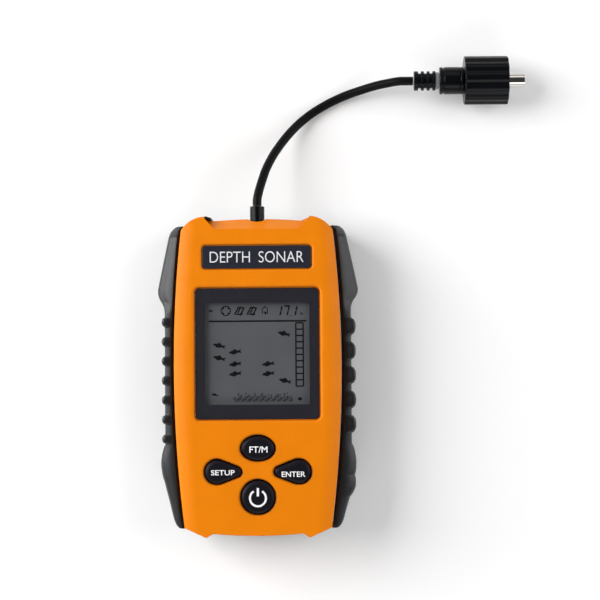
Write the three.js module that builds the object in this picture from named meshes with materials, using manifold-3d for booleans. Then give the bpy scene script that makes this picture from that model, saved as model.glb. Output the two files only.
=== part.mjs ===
// Handheld fish finder: an orange and black case with side grips, a window over an LCD, four
// rubber keys, a sliding battery door on the back, and a short sonar lead with a barrel plug.
// Millimetres. The case lies on its back: +Z comes out of the window, +Y points to the lead end,
// and the origin is under the middle of the case, on the surface it lies on.

import * as THREE from 'three';
import { mergeVertices } from 'three/addons/utils/BufferGeometryUtils.js';
import Module from 'manifold-3d';

const wasm = await Module();
wasm.setup();

// ---- driving dimensions -------------------------------------------------------------------

const gap = 0.3;                      // clearance between pieces that only touch

// case outline, seen from the front
const caseHalfLength = 60.5;          // middle of the case to the shoulder and foot tips
const caseHalfWidth = 31.6;           // at the waist, without the grips
const topHalfWidth = 28.7;            // at the top corners
const bottomHalfWidth = 27.7;         // at the bottom corners
const topCornerDrop = 5.2;            // shoulder tip down to the top corner
const bottomCornerRise = 3.7;         // foot tip up to the bottom corner
const shoulderTipX = 19.4;
const footTipX = 19.5;
const ledgeInset = 2.6;               // each ledge ends this far inside its tips
const ledgeDepth = 1.5;               // tips stand out this far past the ledge ends
const ledgeRise = 0.8;                // crown of the ledge between its ends

// case section
const caseDepth = 33;                 // back face to front face
const seamHeight = 20;                // where the two covers meet
const coverWall = 2.4;
const backWall = 2.4;
const faceWall = 2.4;
const topEndWall = 5.2;               // thicker, because the cable notch is cut into it
const frontRoundWidth = 7;            // rounded long edges of the front face
const frontRoundDrop = 3.5;
const backRound = 3;
const notchLength = 4.2;              // sloped cable notch, along the case
const notchDrop = 7;                  // and how far its slope falls
const notchHalfWidth = 16;            // at its foot; it widens to the shoulders

// side grips
const gripBottom = 2.6;
const gripTopDrop = 6.8;              // front face down to the top of the grips
const gripThickness = 3.9;            // between ridges, out from the widest part of the case
const wingThickness = 6.8;            // upper wings, the widest point of the whole case
const hipThickness = 5.8;             // lower wings
const wingFromEnd = 27.9;             // case end to the peak of the upper wing
const hipFromEnd = 27;
const gripRoundWidth = 8;
const gripRoundDrop = 11;
const leftRidge = { count: 7, first: 20.7, pitch: 7.4, proud: 1.15, half: 1.6 };
const rightRidge = { count: 5, first: 18.8, pitch: 9.3, proud: 1.75, half: 2.9 };

// window, display and nameplate
const windowWidth = 47.4;
const windowHeight = 50.2;
const windowY = 8.55;
const windowCorner = 2;
const windowSideLedge = 3.6;          // ledge that the lens lies on
const windowEndLedge = 5.5;
const lensThickness = 1.1;
const lensSink = 0.3;                 // the lens lies this far below the face
const lcdBorder = 1.7;                // display beyond its view, all round
const lcdThickness = 2.2;
const lcdBelowLens = 1.8;
const frameWall = 2.2;
const frameSillHeight = 0.9;
const zebraWidth = 2.2;
const plateWidth = 41.5;
const plateHeight = 9.2;
const plateY = 45;
const plateCorner = 1.5;
const plateThickness = 0.6;
const plateSink = 0.25;

// keys
const keyGap = 0.45;                  // between a key and its hole
const keyProud = 0.9;                 // crown above the face
const keyCrown = 1.3;                 // rounding of the key's rim
const keyFlange = 1.0;                // flange that stops the key under the face
const keyFlangeThickness = 1.1;
const keyTravel = 1.0;
const postRadius = 2.3;
const domeRadius = 3.6;
const domeHeight = 0.6;
const unitKey = { x: 0, y: -27, width: 13.3, height: 10 };
const sideKey = { x: 15.4, y: -35.8, bigRadius: 4.9, smallRadius: 2.25, reach: 7.3 };
const powerKey = { x: 0, y: -45.3, radius: 6.7 };
const matThickness = 1.2;
const matRim = 1;                     // wall around the mat's hollow underside

// circuit board and what it carries
const boardWidth = 49;
const boardFromTopEnd = 15;
const boardFromBottomEnd = 9.9;
const boardThickness = 1.6;
const boardDepth = 9;                 // front face down to the board
const boardScrewX = 22;
const boardScrewFromEdge = 3.5;
const standoffRadius = 2.4;
const boardScrewRadius = 1.0;
const transformerRadius = 6.5;
const transformerHeight = 8;
const buzzerRadius = 6;
const buzzerHeight = 7.5;
const capacitorRadius = 3.2;
const capacitorHeight = 6.4;

// battery bay
const cellRadius = 5.25;              // AAA cell
const cellLength = 44.5;
const cellNub = 0.9;
const cellPitch = 10.9;
const springSpace = 3.2;
const springWire = 0.35;
const contactThickness = 0.4;
const contactHeight = 7;
const bayFromEnd = 13.5;              // lower case end to the bay
const bayWall = 3.4;
const bayCeiling = 1.8;
const doorThickness = 2.2;
const doorSink = 0.2;                 // the door stays this far above the table
const doorHalfWidth = 23.3;
const doorTongue = 1.5;               // side tongues that slide in the case
const doorTongueThickness = 1.0;
const sealWidth = 1.1;
const sealHeight = 0.9;

// screws through the case
const caseScrewTop = { x: 21, fromEnd: 10.5 };
const caseScrewBottom = { x: 20, fromEnd: 6.2 };
const screwRadius = 1.3;
const screwHeadRadius = 2.5;
const screwHeadHeight = 1.8;
const screwTipDepth = 6;              // front face down to the tips
const bossRadius = 3.4;

// sonar lead and its boot
const leadRadius = 1.7;
const bootDepth = 9;                  // front face down to the lead's axis
const bootReach = 4.3;                // boot beyond the shoulder tips
const bootRadius = 2.75;
const bootFlangeRadius = 3.9;
const leadRoute = [
  [0, 65.1, 24], [0, 67.2, 24], [0.5, 70, 23.3], [1.2, 72.8, 22], [2.1, 76, 20.3],
  [3.1, 79.2, 18.3], [4.4, 82.4, 15.9], [5.9, 85.5, 13.5], [7.7, 88.6, 11], [9.8, 91.8, 8.5],
  [12.2, 95, 6.1], [15, 98.2, 4], [18.3, 101.3, 2.5], [22.2, 104.2, 1.9], [26.6, 106.8, 1.8],
  [31.3, 109.1, 2], [36.1, 110.9, 2.9], [41, 112.3, 4.3], [45.9, 113.5, 6], [50.8, 114.3, 7.7],
  [55.4, 114.8, 9.2], [58.4, 114.8, 9.5], [60.7, 114.8, 9.5],
];

// plug: its axis lies along X, through the last point of the lead
const reliefLength = 9.7;
const reliefRadius = 3.6;
const reliefRings = 3;
const plugBodyLength = 9.3;
const plugBodyRadius = 5.3;
const plugNeckRadius = 4;
const plugFlangeRadius = 6.4;
const plugFlangeLength = 2.6;
const nutRadius = 9.45;
const nutLength = 17;
const nutBore = 7.5;
const nutBackWall = 2.4;
const nutFlutes = 12;
const nutFluteDepth = 0.75;
const sleeveRadius = 2.75;
const sleeveBore = 2.15;
const sleeveReach = 6.6;              // sleeve beyond the nut
const insulatorBore = 0.9;

// ---- derived places -----------------------------------------------------------------------

const ledgeTopEnd = caseHalfLength - ledgeDepth;
const gripTop = caseDepth - gripTopDrop;
const gripValley = caseHalfWidth + gripThickness;
const wingHalfWidth = caseHalfWidth + wingThickness;
const hipHalfWidth = caseHalfWidth + hipThickness;
const wingPeakY = caseHalfLength - wingFromEnd;
const hipPeakY = hipFromEnd - caseHalfLength;
const seamTop = seamHeight + gap;
const faceInside = caseDepth - faceWall;
const lensTop = caseDepth - lensSink;
const lensSeat = lensTop - lensThickness - gap;
const plateSeat = caseDepth - plateSink - plateThickness - gap;
const viewWidth = windowWidth - 2 * windowSideLedge;
const viewHeight = windowHeight - 2 * windowEndLedge;
const lcdWidth = viewWidth + 2 * lcdBorder;
const lcdHeight = viewHeight + 2 * lcdBorder;
const lcdTop = lensTop - lensThickness - lcdBelowLens;
const boardTop = caseDepth - boardDepth;
const boardBottom = boardTop - boardThickness;
const boardTopY = caseHalfLength - boardFromTopEnd;
const boardBottomY = boardFromBottomEnd - caseHalfLength;
const frameEndY = windowY - lcdHeight / 2 - gap - frameWall;
const boardScrewYs = [
  boardTopY - boardScrewFromEdge,
  frameEndY - standoffRadius - 1.65,
];
const screwTip = caseDepth - screwTipDepth;
const cavityTopY = ledgeTopEnd + ledgeRise - topEndWall;
const bayHalfWidth = 2 * cellPitch + 0.5;
const contactSpan = contactThickness + gap;
const bayBottomY = bayFromEnd - caseHalfLength;
const bayLength = cellLength + springSpace + 2 * contactSpan + gap;
const bayTopY = bayBottomY + bayLength;
const bayMiddleY = (bayBottomY + bayTopY) / 2;
const doorTop = doorSink + doorThickness;
const doorRecess = doorTop + gap;
const cellHeight = doorRecess + gap + cellRadius;
const bayRoof = cellHeight + cellRadius + 0.5;
const doorEndY = bayTopY + bayWall + 1.2;
const blockTopY = doorEndY + 2.4;
const leadEnd = new THREE.Vector3(...leadRoute.at(-1));
const bootSeatY = ledgeTopEnd + ledgeRise - 1.4;
const bootHeight = caseDepth - bootDepth;
const bootEndY = caseHalfLength + bootReach;

// ---- shapes -------------------------------------------------------------------------------

// Outline of the covers with their shoulders, feet and ledges; grow moves it outwards.
function caseOutline(grow = 0) {
  const tip = caseHalfLength + grow;
  const ledgeEnd = ledgeTopEnd + grow;
  const crown = ledgeEnd + 2 * ledgeRise;
  const top = topHalfWidth + grow;
  const bottom = bottomHalfWidth + grow;
  const waist = 2 * (caseHalfWidth + grow) - (top + bottom) / 2;
  const topCornerY = tip - topCornerDrop;
  const bottomCornerY = -tip + bottomCornerRise;
  const shoulderX = shoulderTipX + 0.65 * (topHalfWidth - shoulderTipX);
  const shape = new THREE.Shape();
  shape.moveTo(-shoulderTipX + ledgeInset, ledgeEnd);
  shape.quadraticCurveTo(0, crown, shoulderTipX - ledgeInset, ledgeEnd);
  shape.lineTo(shoulderTipX, tip);
  shape.quadraticCurveTo(shoulderX, tip - 0.9, top, topCornerY);
  shape.quadraticCurveTo(waist, 0, bottom, bottomCornerY);
  shape.lineTo(footTipX, -tip);
  shape.lineTo(footTipX - ledgeInset, -ledgeEnd);
  shape.quadraticCurveTo(0, -crown, -footTipX + ledgeInset, -ledgeEnd);
  shape.lineTo(-footTipX, -tip);
  shape.lineTo(-bottom, bottomCornerY);
  shape.quadraticCurveTo(-waist, 0, -top, topCornerY);
  shape.quadraticCurveTo(-shoulderX, tip - 0.9, -shoulderTipX, tip);
  return shape;
}

// Plain barrel outline with bowed sides, given by its own half widths and ends.
function barrel(half, topHalf, bottomHalf, topY, bottomY, corner = 0) {
  const waist = 2 * half - (topHalf + bottomHalf) / 2;
  const shape = new THREE.Shape();
  shape.moveTo(-topHalf + corner, topY);
  shape.lineTo(topHalf - corner, topY);
  if (corner) shape.quadraticCurveTo(topHalf, topY, topHalf, topY - corner);
  shape.quadraticCurveTo(waist, (topY + bottomY) / 2, bottomHalf, bottomY + corner);
  if (corner) shape.quadraticCurveTo(bottomHalf, bottomY, bottomHalf - corner, bottomY);
  shape.lineTo(-bottomHalf + corner, bottomY);
  if (corner) shape.quadraticCurveTo(-bottomHalf, bottomY, -bottomHalf, bottomY + corner);
  shape.quadraticCurveTo(-waist, (topY + bottomY) / 2, -topHalf, topY - corner);
  if (corner) shape.quadraticCurveTo(-topHalf, topY, -topHalf + corner, topY);
  return shape;
}

// The barrel that runs this far inside the case's outer wall.
function insideWall(inset, topY = ledgeTopEnd - inset) {
  return barrel(
    caseHalfWidth - inset,
    topHalfWidth - inset,
    bottomHalfWidth - inset,
    topY,
    -ledgeTopEnd + inset,
    5,
  );
}

function rectangle(x, y, width, height, corner = 0) {
  const left = x - width / 2;
  const right = x + width / 2;
  const low = y - height / 2;
  const high = y + height / 2;
  const shape = new THREE.Shape();
  shape.moveTo(left + corner, low);
  shape.lineTo(right - corner, low);
  if (corner) shape.absarc(right - corner, low + corner, corner, -Math.PI / 2, 0);
  shape.lineTo(right, high - corner);
  if (corner) shape.absarc(right - corner, high - corner, corner, 0, Math.PI / 2);
  shape.lineTo(left + corner, high);
  if (corner) shape.absarc(left + corner, high - corner, corner, Math.PI / 2, Math.PI);
  shape.lineTo(left, low + corner);
  if (corner) shape.absarc(left + corner, low + corner, corner, Math.PI, 1.5 * Math.PI);
  return shape;
}

function ellipse(x, y, radiusX, radiusY) {
  const shape = new THREE.Shape();
  shape.absellipse(x, y, radiusX, radiusY, 0, 2 * Math.PI);
  return shape;
}

// Egg outline: a big and a small circle joined by their tangents, pointing along X.
function egg(x, y, bigRadius, smallRadius, reach, towards) {
  const facing = towards > 0 ? 0 : Math.PI;
  const tangent = Math.acos((bigRadius - smallRadius) / reach);
  const shape = new THREE.Shape();
  shape.absarc(x, y, bigRadius, facing + tangent, facing + 2 * Math.PI - tangent);
  shape.absarc(x + towards * reach, y, smallRadius, facing - tangent, facing + tangent);
  return shape;
}

// ---- solids -------------------------------------------------------------------------------

function solid(geometry) {
  const bare = geometry.clone();
  bare.deleteAttribute('normal');
  bare.deleteAttribute('uv');
  const merged = mergeVertices(bare, 1e-4);
  const corners = [];
  for (let i = 0; i < merged.index.count; i += 3) {
    const [a, b, c] = [0, 1, 2].map((k) => merged.index.getX(i + k));
    if (a !== b && b !== c && c !== a) corners.push(a, b, c);
  }
  return new wasm.Manifold(new wasm.Mesh({
    numProp: 3,
    vertProperties: new Float32Array(merged.attributes.position.array),
    triVerts: new Uint32Array(corners),
  }));
}

function geometryOf(body) {
  const mesh = body.getMesh();
  const geometry = new THREE.BufferGeometry();
  geometry.setAttribute('position', new THREE.BufferAttribute(mesh.vertProperties, 3));
  geometry.setIndex(new THREE.BufferAttribute(mesh.triVerts, 1));
  geometry.computeVertexNormals();
  return geometry;
}

// A flat shape between two heights.
function slab(shape, low, high, curveSegments = 7) {
  const geometry = new THREE.ExtrudeGeometry(shape, {
    depth: high - low,
    bevelEnabled: false,
    curveSegments,
  });
  return solid(geometry.translate(0, 0, low));
}

// A rounded rectangle between two heights.
function card(x, y, width, height, corner, low, high) {
  return slab(rectangle(x, y, width, height, corner), low, high, 2);
}

// A slab whose rim is rounded at both faces: inset from the outline, drop from the face.
function pillow(shape, low, high, inset, drop, steps = 4, curveSegments = 7) {
  const geometry = new THREE.ExtrudeGeometry(shape, {
    depth: high - low - 2 * drop,
    bevelEnabled: true,
    bevelSize: inset,
    bevelOffset: -inset,
    bevelThickness: drop,
    bevelSegments: steps,
    curveSegments,
  });
  return solid(geometry.translate(0, 0, low + drop));
}

function box(x0, x1, y0, y1, z0, z1) {
  const geometry = new THREE.BoxGeometry(x1 - x0, y1 - y0, z1 - z0);
  return solid(geometry.translate((x0 + x1) / 2, (y0 + y1) / 2, (z0 + z1) / 2));
}

function cylinderZ(x, y, radius, low, high, sides = 16) {
  const geometry = new THREE.CylinderGeometry(radius, radius, high - low, sides);
  return solid(geometry.rotateX(Math.PI / 2).translate(x, y, (low + high) / 2));
}

function cylinderY(x, z, radius, low, high, sides = 20) {
  const geometry = new THREE.CylinderGeometry(radius, radius, high - low, sides);
  return solid(geometry.translate(x, (low + high) / 2, z));
}

// A turned piece. The profile is a list of [radius, station] pairs along the axis.
function turned(profile, sides = 16) {
  const points = profile.map(([radius, station]) => new THREE.Vector2(radius, station));
  return new THREE.LatheGeometry(points, sides);
}

function turnedZ(profile, x, y, sides = 16) {
  return solid(turned(profile, sides).rotateX(Math.PI / 2).translate(x, y, 0));
}

function turnedY(profile, x, z, sides = 16) {
  return solid(turned(profile, sides).translate(x, 0, z));
}

function turnedX(profile, y, z, sides = 20) {
  return solid(turned(profile, sides).rotateZ(-Math.PI / 2).translate(0, y, z));
}

// A round wire or cable along a smooth curve through the given points.
function tube(points, radius, steps, sides) {
  const path = new THREE.CatmullRomCurve3(points.map((p) => new THREE.Vector3(...p)));
  const section = new THREE.Shape();
  for (let i = 0; i < sides; i += 1) {
    const turn = (2 * Math.PI * i) / sides;
    section[i ? 'lineTo' : 'moveTo'](radius * Math.cos(turn), radius * Math.sin(turn));
  }
  return new THREE.ExtrudeGeometry(section, { extrudePath: path, steps, curveSegments: 1 });
}

// A closed seal or frame: an outer shape with an inner one cut out of it.
function ring(outer, inner, low, high) {
  return slab(outer, low, high, 4).subtract(slab(inner, low - 1, high + 1, 4));
}

function joinAll(bodies) {
  return bodies.reduce((sum, body) => sum.add(body));
}

function cutAll(body, tools) {
  return tools.reduce((rest, tool) => rest.subtract(tool), body);
}

const sides = [-1, 1];

function bothSides(x, y) {
  return sides.map((side) => [side * x, y]);
}

// ---- finishes and the assembly ------------------------------------------------------------

const finishes = {
  orangeShell: { color: 0xf39212, roughness: 0.42, metalness: 0 },
  blackShell: { color: 0x1c1c1e, roughness: 0.5, metalness: 0 },
  gripRubber: { color: 0x26272b, roughness: 0.6, metalness: 0 },
  keyRubber: { color: 0x17171b, roughness: 0.55, metalness: 0 },
  sealRubber: { color: 0x2b2b2b, roughness: 0.8, metalness: 0 },
  platePrint: { color: 0x33343d, roughness: 0.35, metalness: 0 },
  clearWindow: { color: 0x9aa2a8, roughness: 0.05, metalness: 0 },
  lcdGlass: { color: 0x60625f, roughness: 0.3, metalness: 0 },
  whitePlastic: { color: 0xe8e8e2, roughness: 0.5, metalness: 0 },
  boardGreen: { color: 0x1f5a34, roughness: 0.5, metalness: 0 },
  chipBlack: { color: 0x202022, roughness: 0.6, metalness: 0 },
  ferriteGrey: { color: 0x3c3c40, roughness: 0.7, metalness: 0 },
  canAluminium: { color: 0xb4b6b8, roughness: 0.35, metalness: 1 },
  springSteel: { color: 0xc2c4c6, roughness: 0.3, metalness: 1 },
  screwSteel: { color: 0x8d8f92, roughness: 0.35, metalness: 1 },
  cellJacket: { color: 0x2d6b3c, roughness: 0.4, metalness: 0.2 },
  redWire: { color: 0xa52020, roughness: 0.5, metalness: 0 },
  blackWire: { color: 0x161616, roughness: 0.5, metalness: 0 },
  leadJacket: { color: 0x141416, roughness: 0.45, metalness: 0 },
  plugPlastic: { color: 0x121214, roughness: 0.3, metalness: 0 },
  sleeveChrome: { color: 0xd6d8da, roughness: 0.15, metalness: 1 },
};

const group = new THREE.Group();

function add(name, piece, finish) {
  const geometry = piece.isBufferGeometry ? piece : geometryOf(piece);
  const material = new THREE.MeshStandardMaterial(finishes[finish]);
  const mesh = new THREE.Mesh(geometry, material);
  mesh.name = name;
  group.add(mesh);
}

// ---- covers -------------------------------------------------------------------------------

// Key outlines; grow is negative for the key itself and positive for its flange.
function unitKeyShape(grow) {
  return ellipse(unitKey.x, unitKey.y, unitKey.width / 2 + grow, unitKey.height / 2 + grow);
}

function sideKeyShape(side, grow) {
  const { x, y, bigRadius, smallRadius, reach } = sideKey;
  return egg(side * x, y, bigRadius + grow, smallRadius + grow, reach, -side);
}

function powerKeyShape(grow) {
  return ellipse(powerKey.x, powerKey.y, powerKey.radius + grow, powerKey.radius + grow);
}

const keys = [
  { name: 'ft_m_button', x: unitKey.x, y: unitKey.y, shape: unitKeyShape },
  { name: 'setup_button', x: -sideKey.x, y: sideKey.y, shape: (g) => sideKeyShape(-1, g) },
  { name: 'enter_button', x: sideKey.x, y: sideKey.y, shape: (g) => sideKeyShape(1, g) },
  { name: 'power_button', x: powerKey.x, y: powerKey.y, shape: powerKeyShape },
];

const screwPlaces = [
  ...bothSides(caseScrewTop.x, caseHalfLength - caseScrewTop.fromEnd),
  ...bothSides(caseScrewBottom.x, caseScrewBottom.fromEnd - caseHalfLength),
];
const boardScrewPlaces = boardScrewYs.flatMap((y) => bothSides(boardScrewX, y));

// Wedge that makes the sloped cable notch between the shoulders.
function notchWedge() {
  const footY = ledgeTopEnd + ledgeRise - notchLength;
  const reach = 4;
  const foot = notchHalfWidth;
  const mouth = shoulderTipX + 0.4;
  const plan = new THREE.Shape();
  plan.moveTo(-foot, footY);
  plan.lineTo(foot, footY);
  plan.lineTo(mouth, footY + notchLength);
  plan.lineTo(mouth, footY + notchLength + reach);
  plan.lineTo(-mouth, footY + notchLength + reach);
  plan.lineTo(-mouth, footY + notchLength);
  const slope = new THREE.Shape();
  const slopeRate = notchDrop / notchLength;
  slope.moveTo(footY, -caseDepth);
  slope.lineTo(footY + notchLength + reach, -caseDepth + slopeRate * (notchLength + reach));
  slope.lineTo(footY + notchLength + reach, -caseDepth - 2);
  slope.lineTo(footY, -caseDepth - 2);
  // drawn in the plane of Y and -Z, then stood up and spread across the case
  const spread = new THREE.ExtrudeGeometry(slope, { depth: 60, bevelEnabled: false });
  spread.rotateY(-Math.PI / 2).rotateX(Math.PI / 2).translate(30, 0, 0);
  return slab(plan, seamTop, caseDepth + 1).intersect(solid(spread));
}

function frontCover() {
  const reach = 5;
  const crown = barrel(
    caseHalfWidth + 0.05,
    topHalfWidth,
    bottomHalfWidth,
    caseHalfLength + reach,
    -caseHalfLength - reach,
  );
  const shell = slab(caseOutline(), seamTop, caseDepth)
    .intersect(pillow(crown, 0, caseDepth, frontRoundWidth, frontRoundDrop, 5))
    .subtract(slab(insideWall(coverWall, cavityTopY), 0, faceInside));
  const posts = [
    ...screwPlaces.map(([x, y]) => cylinderZ(x, y, bossRadius, seamTop, faceInside + 0.5)),
    ...boardScrewPlaces.map(([x, y]) => (
      cylinderZ(x, y, standoffRadius, boardTop + gap, faceInside + 0.5, 10))),
  ];
  const holes = [
    notchWedge(),
    cylinderY(0, bootHeight, bootRadius + gap, cavityTopY - 5, caseHalfLength + 2),
    cylinderY(0, bootHeight, bootFlangeRadius, bootSeatY, caseHalfLength + 2),
    card(0, windowY, windowWidth, windowHeight, windowCorner, lensSeat, caseDepth + 1),
    card(0, windowY, viewWidth, viewHeight, 0.8, 0, caseDepth + 1),
    card(0, plateY, plateWidth, plateHeight, plateCorner, plateSeat, caseDepth + 1),
    ...keys.map((key) => slab(key.shape(0), 0, caseDepth + 1, 10)),
    ...screwPlaces.map(([x, y]) => (
      cylinderZ(x, y, screwRadius + gap, 0, screwTip + 1, 10))),
    ...boardScrewPlaces.map(([x, y]) => (
      cylinderZ(x, y, boardScrewRadius + gap, 0, boardTop + 4.6, 8))),
  ];
  return cutAll(joinAll([shell, ...posts]), holes);
}

// The battery door's plan: a plate that runs out of the lower end of the case.
function doorPlan(half, endY) {
  const length = endY + caseHalfLength + 2;
  return rectangle(0, endY - length / 2, 2 * half, length);
}

function backRounding() {
  const tip = caseHalfLength + 0.1;
  const crown = barrel(
    caseHalfWidth + 0.05,
    topHalfWidth + 0.4,
    bottomHalfWidth + 0.4,
    tip,
    -tip,
  );
  return pillow(crown, 0, 2 * caseDepth, backRound, backRound, 3);
}

function backCover() {
  const hollow = slab(insideWall(coverWall, cavityTopY), backWall, caseDepth);
  const blockHalf = bayHalfWidth + bayWall;
  const padTop = doorRecess + 2.6;
  const shell = slab(caseOutline(), 0, seamHeight).subtract(hollow);
  const blocks = [
    box(-blockHalf, blockHalf, bayBottomY - bayWall, blockTopY, 0, bayRoof + bayCeiling),
    box(-blockHalf, blockHalf, -caseHalfLength, bayBottomY, 0, padTop),
    ...screwPlaces.map(([x, y]) => cylinderZ(x, y, bossRadius, 0, seamHeight)),
  ];
  const sealBand = ring(insideWall(0.9), insideWall(2.6), seamHeight - 1.6, caseDepth);
  const slotX = 1.5 * cellPitch;
  const tools = [
    slab(doorPlan(doorHalfWidth + gap, doorEndY + gap), -1, doorRecess),
    slab(
      doorPlan(doorHalfWidth + doorTongue + gap, doorEndY + gap),
      doorTop - doorTongueThickness - gap,
      doorRecess,
    ),
    box(-bayHalfWidth, bayHalfWidth, bayBottomY, bayTopY, 0, bayRoof),
    doorSealBand(gap, doorRecess - 0.5, doorRecess + sealHeight + gap),
    sealBand,
    ...sides.map((side) => (
      box(side * slotX - 1.6, side * slotX + 1.6, bayTopY - 1.4, bayTopY, 0, bayRoof + 4))),
    ...screwPlaces.map(([x, y]) => cylinderZ(x, y, screwRadius + gap, -1, seamHeight + 1, 10)),
    ...screwPlaces.map(([x, y]) => (
      cylinderZ(x, y, screwHeadRadius + gap + 0.1, -1, screwSeat(y) + gap))),
  ];
  return cutAll(joinAll([shell, ...blocks]).intersect(backRounding()).intersect(
    slab(caseOutline(), 0, seamHeight)), tools);
}

// Height of the shoulder that a case screw's head pulls on: the lower pair sits behind the door.
function screwSeat(y) {
  return (y < 0 ? doorRecess : 1) + gap + screwHeadHeight;
}

// Ring under the battery door, around the mouth of the bay; spare widens it for its groove.
function doorSealBand(spare, low, high) {
  const inner = 0.9;
  const outer = inner + sealWidth;
  const grown = (edge) => rectangle(
    0,
    bayMiddleY,
    2 * (bayHalfWidth + edge),
    bayLength + 2 * edge,
    1.5,
  );
  return ring(grown(outer + spare), grown(inner - spare), low, high);
}

function batteryDoor() {
  const plate = slab(doorPlan(doorHalfWidth, doorEndY), doorSink, doorTop);
  const tongues = slab(
    doorPlan(doorHalfWidth + doorTongue, doorEndY),
    doorTop - doorTongueThickness,
    doorTop,
  );
  const grooves = [0, 1, 2, 3, 4, 5].map((i) => (
    box(-9, 9, doorEndY - 8 - 2.4 * i, doorEndY - 6.8 - 2.4 * i, -1, doorSink + 0.6)));
  return cutAll(plate.add(tongues), grooves)
    .intersect(slab(caseOutline(), 0, seamHeight))
    .intersect(backRounding());
}

add('front_cover', frontCover(), 'orangeShell');
add('back_cover', backCover(), 'blackShell');
add('battery_door', batteryDoor(), 'blackShell');
add('case_seal', ring(insideWall(1.2), insideWall(2.3), seamHeight - 1.3, seamHeight), 'sealRubber');
add('door_seal', doorSealBand(0, doorRecess + 0.1, doorRecess + sealHeight), 'sealRubber');

// ---- side grips ---------------------------------------------------------------------------

// Ridged edge of a grip between its two wings, from the top down: sharp on one side, broad and
// blunt on the other.
function ridgeEdge(shape, side, ridge, blunt) {
  for (let i = 0; i < ridge.count; i += 1) {
    const y = ridge.first - i * ridge.pitch;
    const peak = gripValley + ridge.proud;
    shape.lineTo(side * gripValley, y + ridge.half);
    if (blunt) {
      shape.lineTo(side * (gripValley + 0.75 * ridge.proud), y + 0.6 * ridge.half);
      shape.lineTo(side * peak, y + 0.1 * ridge.half);
      shape.lineTo(side * (gripValley + 0.8 * ridge.proud), y - 0.4 * ridge.half);
    } else {
      shape.lineTo(side * peak, y + 0.25 * ridge.half);
      shape.lineTo(side * peak, y - 0.15 * ridge.half);
    }
    shape.lineTo(side * gripValley, y - ridge.half);
  }
}

function gripPlan(side, ridge, blunt) {
  const inner = 20;
  const endY = caseHalfLength - 2.8;
  const shape = new THREE.Shape();
  shape.moveTo(side * inner, endY);
  shape.lineTo(side * 30.3, endY);
  shape.quadraticCurveTo(side * 32.9, endY - 0.6, side * 33.5, endY - 3.6);
  shape.lineTo(side * (wingHalfWidth - 0.1), wingPeakY + 0.8);
  shape.lineTo(side * wingHalfWidth, wingPeakY);
  if (blunt) {
    shape.lineTo(side * (gripValley + 0.2), wingPeakY - 5.6);
  } else {
    shape.lineTo(side * (wingHalfWidth - 0.6), wingPeakY - 2.6);
    shape.quadraticCurveTo(side * gripValley, wingPeakY - 5, side * gripValley, wingPeakY - 8);
  }
  ridgeEdge(shape, side, ridge, blunt);
  shape.lineTo(side * gripValley, hipPeakY + 7.4);
  shape.quadraticCurveTo(side * hipHalfWidth, hipPeakY + 4.4, side * hipHalfWidth, hipPeakY + 0.6);
  if (blunt) {
    shape.lineTo(side * (hipHalfWidth - 0.4), hipPeakY - 4);
    shape.lineTo(side * hipHalfWidth, hipPeakY - 5.6);
    shape.lineTo(side * (hipHalfWidth - 0.3), hipPeakY - 9);
    shape.lineTo(side * (gripValley - 0.6), hipPeakY - 11.6);
  } else {
    shape.lineTo(side * hipHalfWidth, hipPeakY - 1.6);
  }
  shape.lineTo(side * 31.7, -endY + 2);
  shape.quadraticCurveTo(side * 30.8, -endY, side * 28.6, -endY);
  shape.lineTo(side * inner, -endY);
  return shape;
}

function grip(side, ridge, blunt) {
  const crown = barrel(
    wingHalfWidth + 1.6,
    topHalfWidth + 7.3,
    bottomHalfWidth + 6.8,
    caseHalfLength,
    -caseHalfLength,
  );
  return slab(gripPlan(side, ridge, blunt), gripBottom, gripTop)
    .intersect(pillow(crown, gripBottom, gripTop, gripRoundWidth, gripRoundDrop, 7))
    .subtract(slab(caseOutline(gap), 0, caseDepth));
}

add('left_grip', grip(-1, leftRidge, false), 'gripRubber');
add('right_grip', grip(1, rightRidge, true), 'gripRubber');

// ---- window, display and nameplate --------------------------------------------------------

const frameLow = boardTop + gap;
const lcdLow = lcdTop - lcdThickness;
const glowTop = lcdLow - gap;
const sillTop = frameLow + frameSillHeight;
const zebraY = windowY - lcdHeight / 2 + zebraWidth / 2;
const glowHeight = lcdHeight - zebraWidth - gap;

function lcdFrame() {
  const grown = (spare, low, high) => (
    card(0, windowY, lcdWidth + 2 * spare, lcdHeight + 2 * spare, 0, low, high));
  return grown(frameWall + gap, frameLow, faceInside - gap)
    .subtract(grown(gap, sillTop, caseDepth))
    .subtract(grown(-zebraWidth - 4, 0, caseDepth))
    .subtract(box(
      -lcdWidth / 2,
      lcdWidth / 2,
      zebraY - zebraWidth / 2 - gap,
      zebraY + zebraWidth / 2 + gap,
      0,
      caseDepth,
    ));
}

add('display_lens', card(
  0,
  windowY,
  windowWidth - 2 * gap,
  windowHeight - 2 * gap,
  windowCorner - gap,
  lensTop - lensThickness,
  lensTop,
), 'clearWindow');
add('nameplate', card(
  0,
  plateY,
  plateWidth - 2 * gap,
  plateHeight - 2 * gap,
  plateCorner - gap,
  plateSeat + gap,
  caseDepth - plateSink,
), 'platePrint');
add('lcd_frame', lcdFrame(), 'chipBlack');
add('lcd_panel', card(0, windowY, lcdWidth, lcdHeight, 0, lcdLow, lcdTop), 'lcdGlass');
add('backlight', card(
  0,
  windowY + (zebraWidth + gap) / 2,
  lcdWidth,
  glowHeight,
  0,
  sillTop + gap,
  glowTop,
), 'whitePlastic');
add('zebra_strip', box(
  -lcdWidth / 2 + 1,
  lcdWidth / 2 - 1,
  zebraY - zebraWidth / 2,
  zebraY + zebraWidth / 2,
  boardTop + gap,
  glowTop,
), 'sealRubber');

// ---- keys, mat and domes ------------------------------------------------------------------

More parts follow.
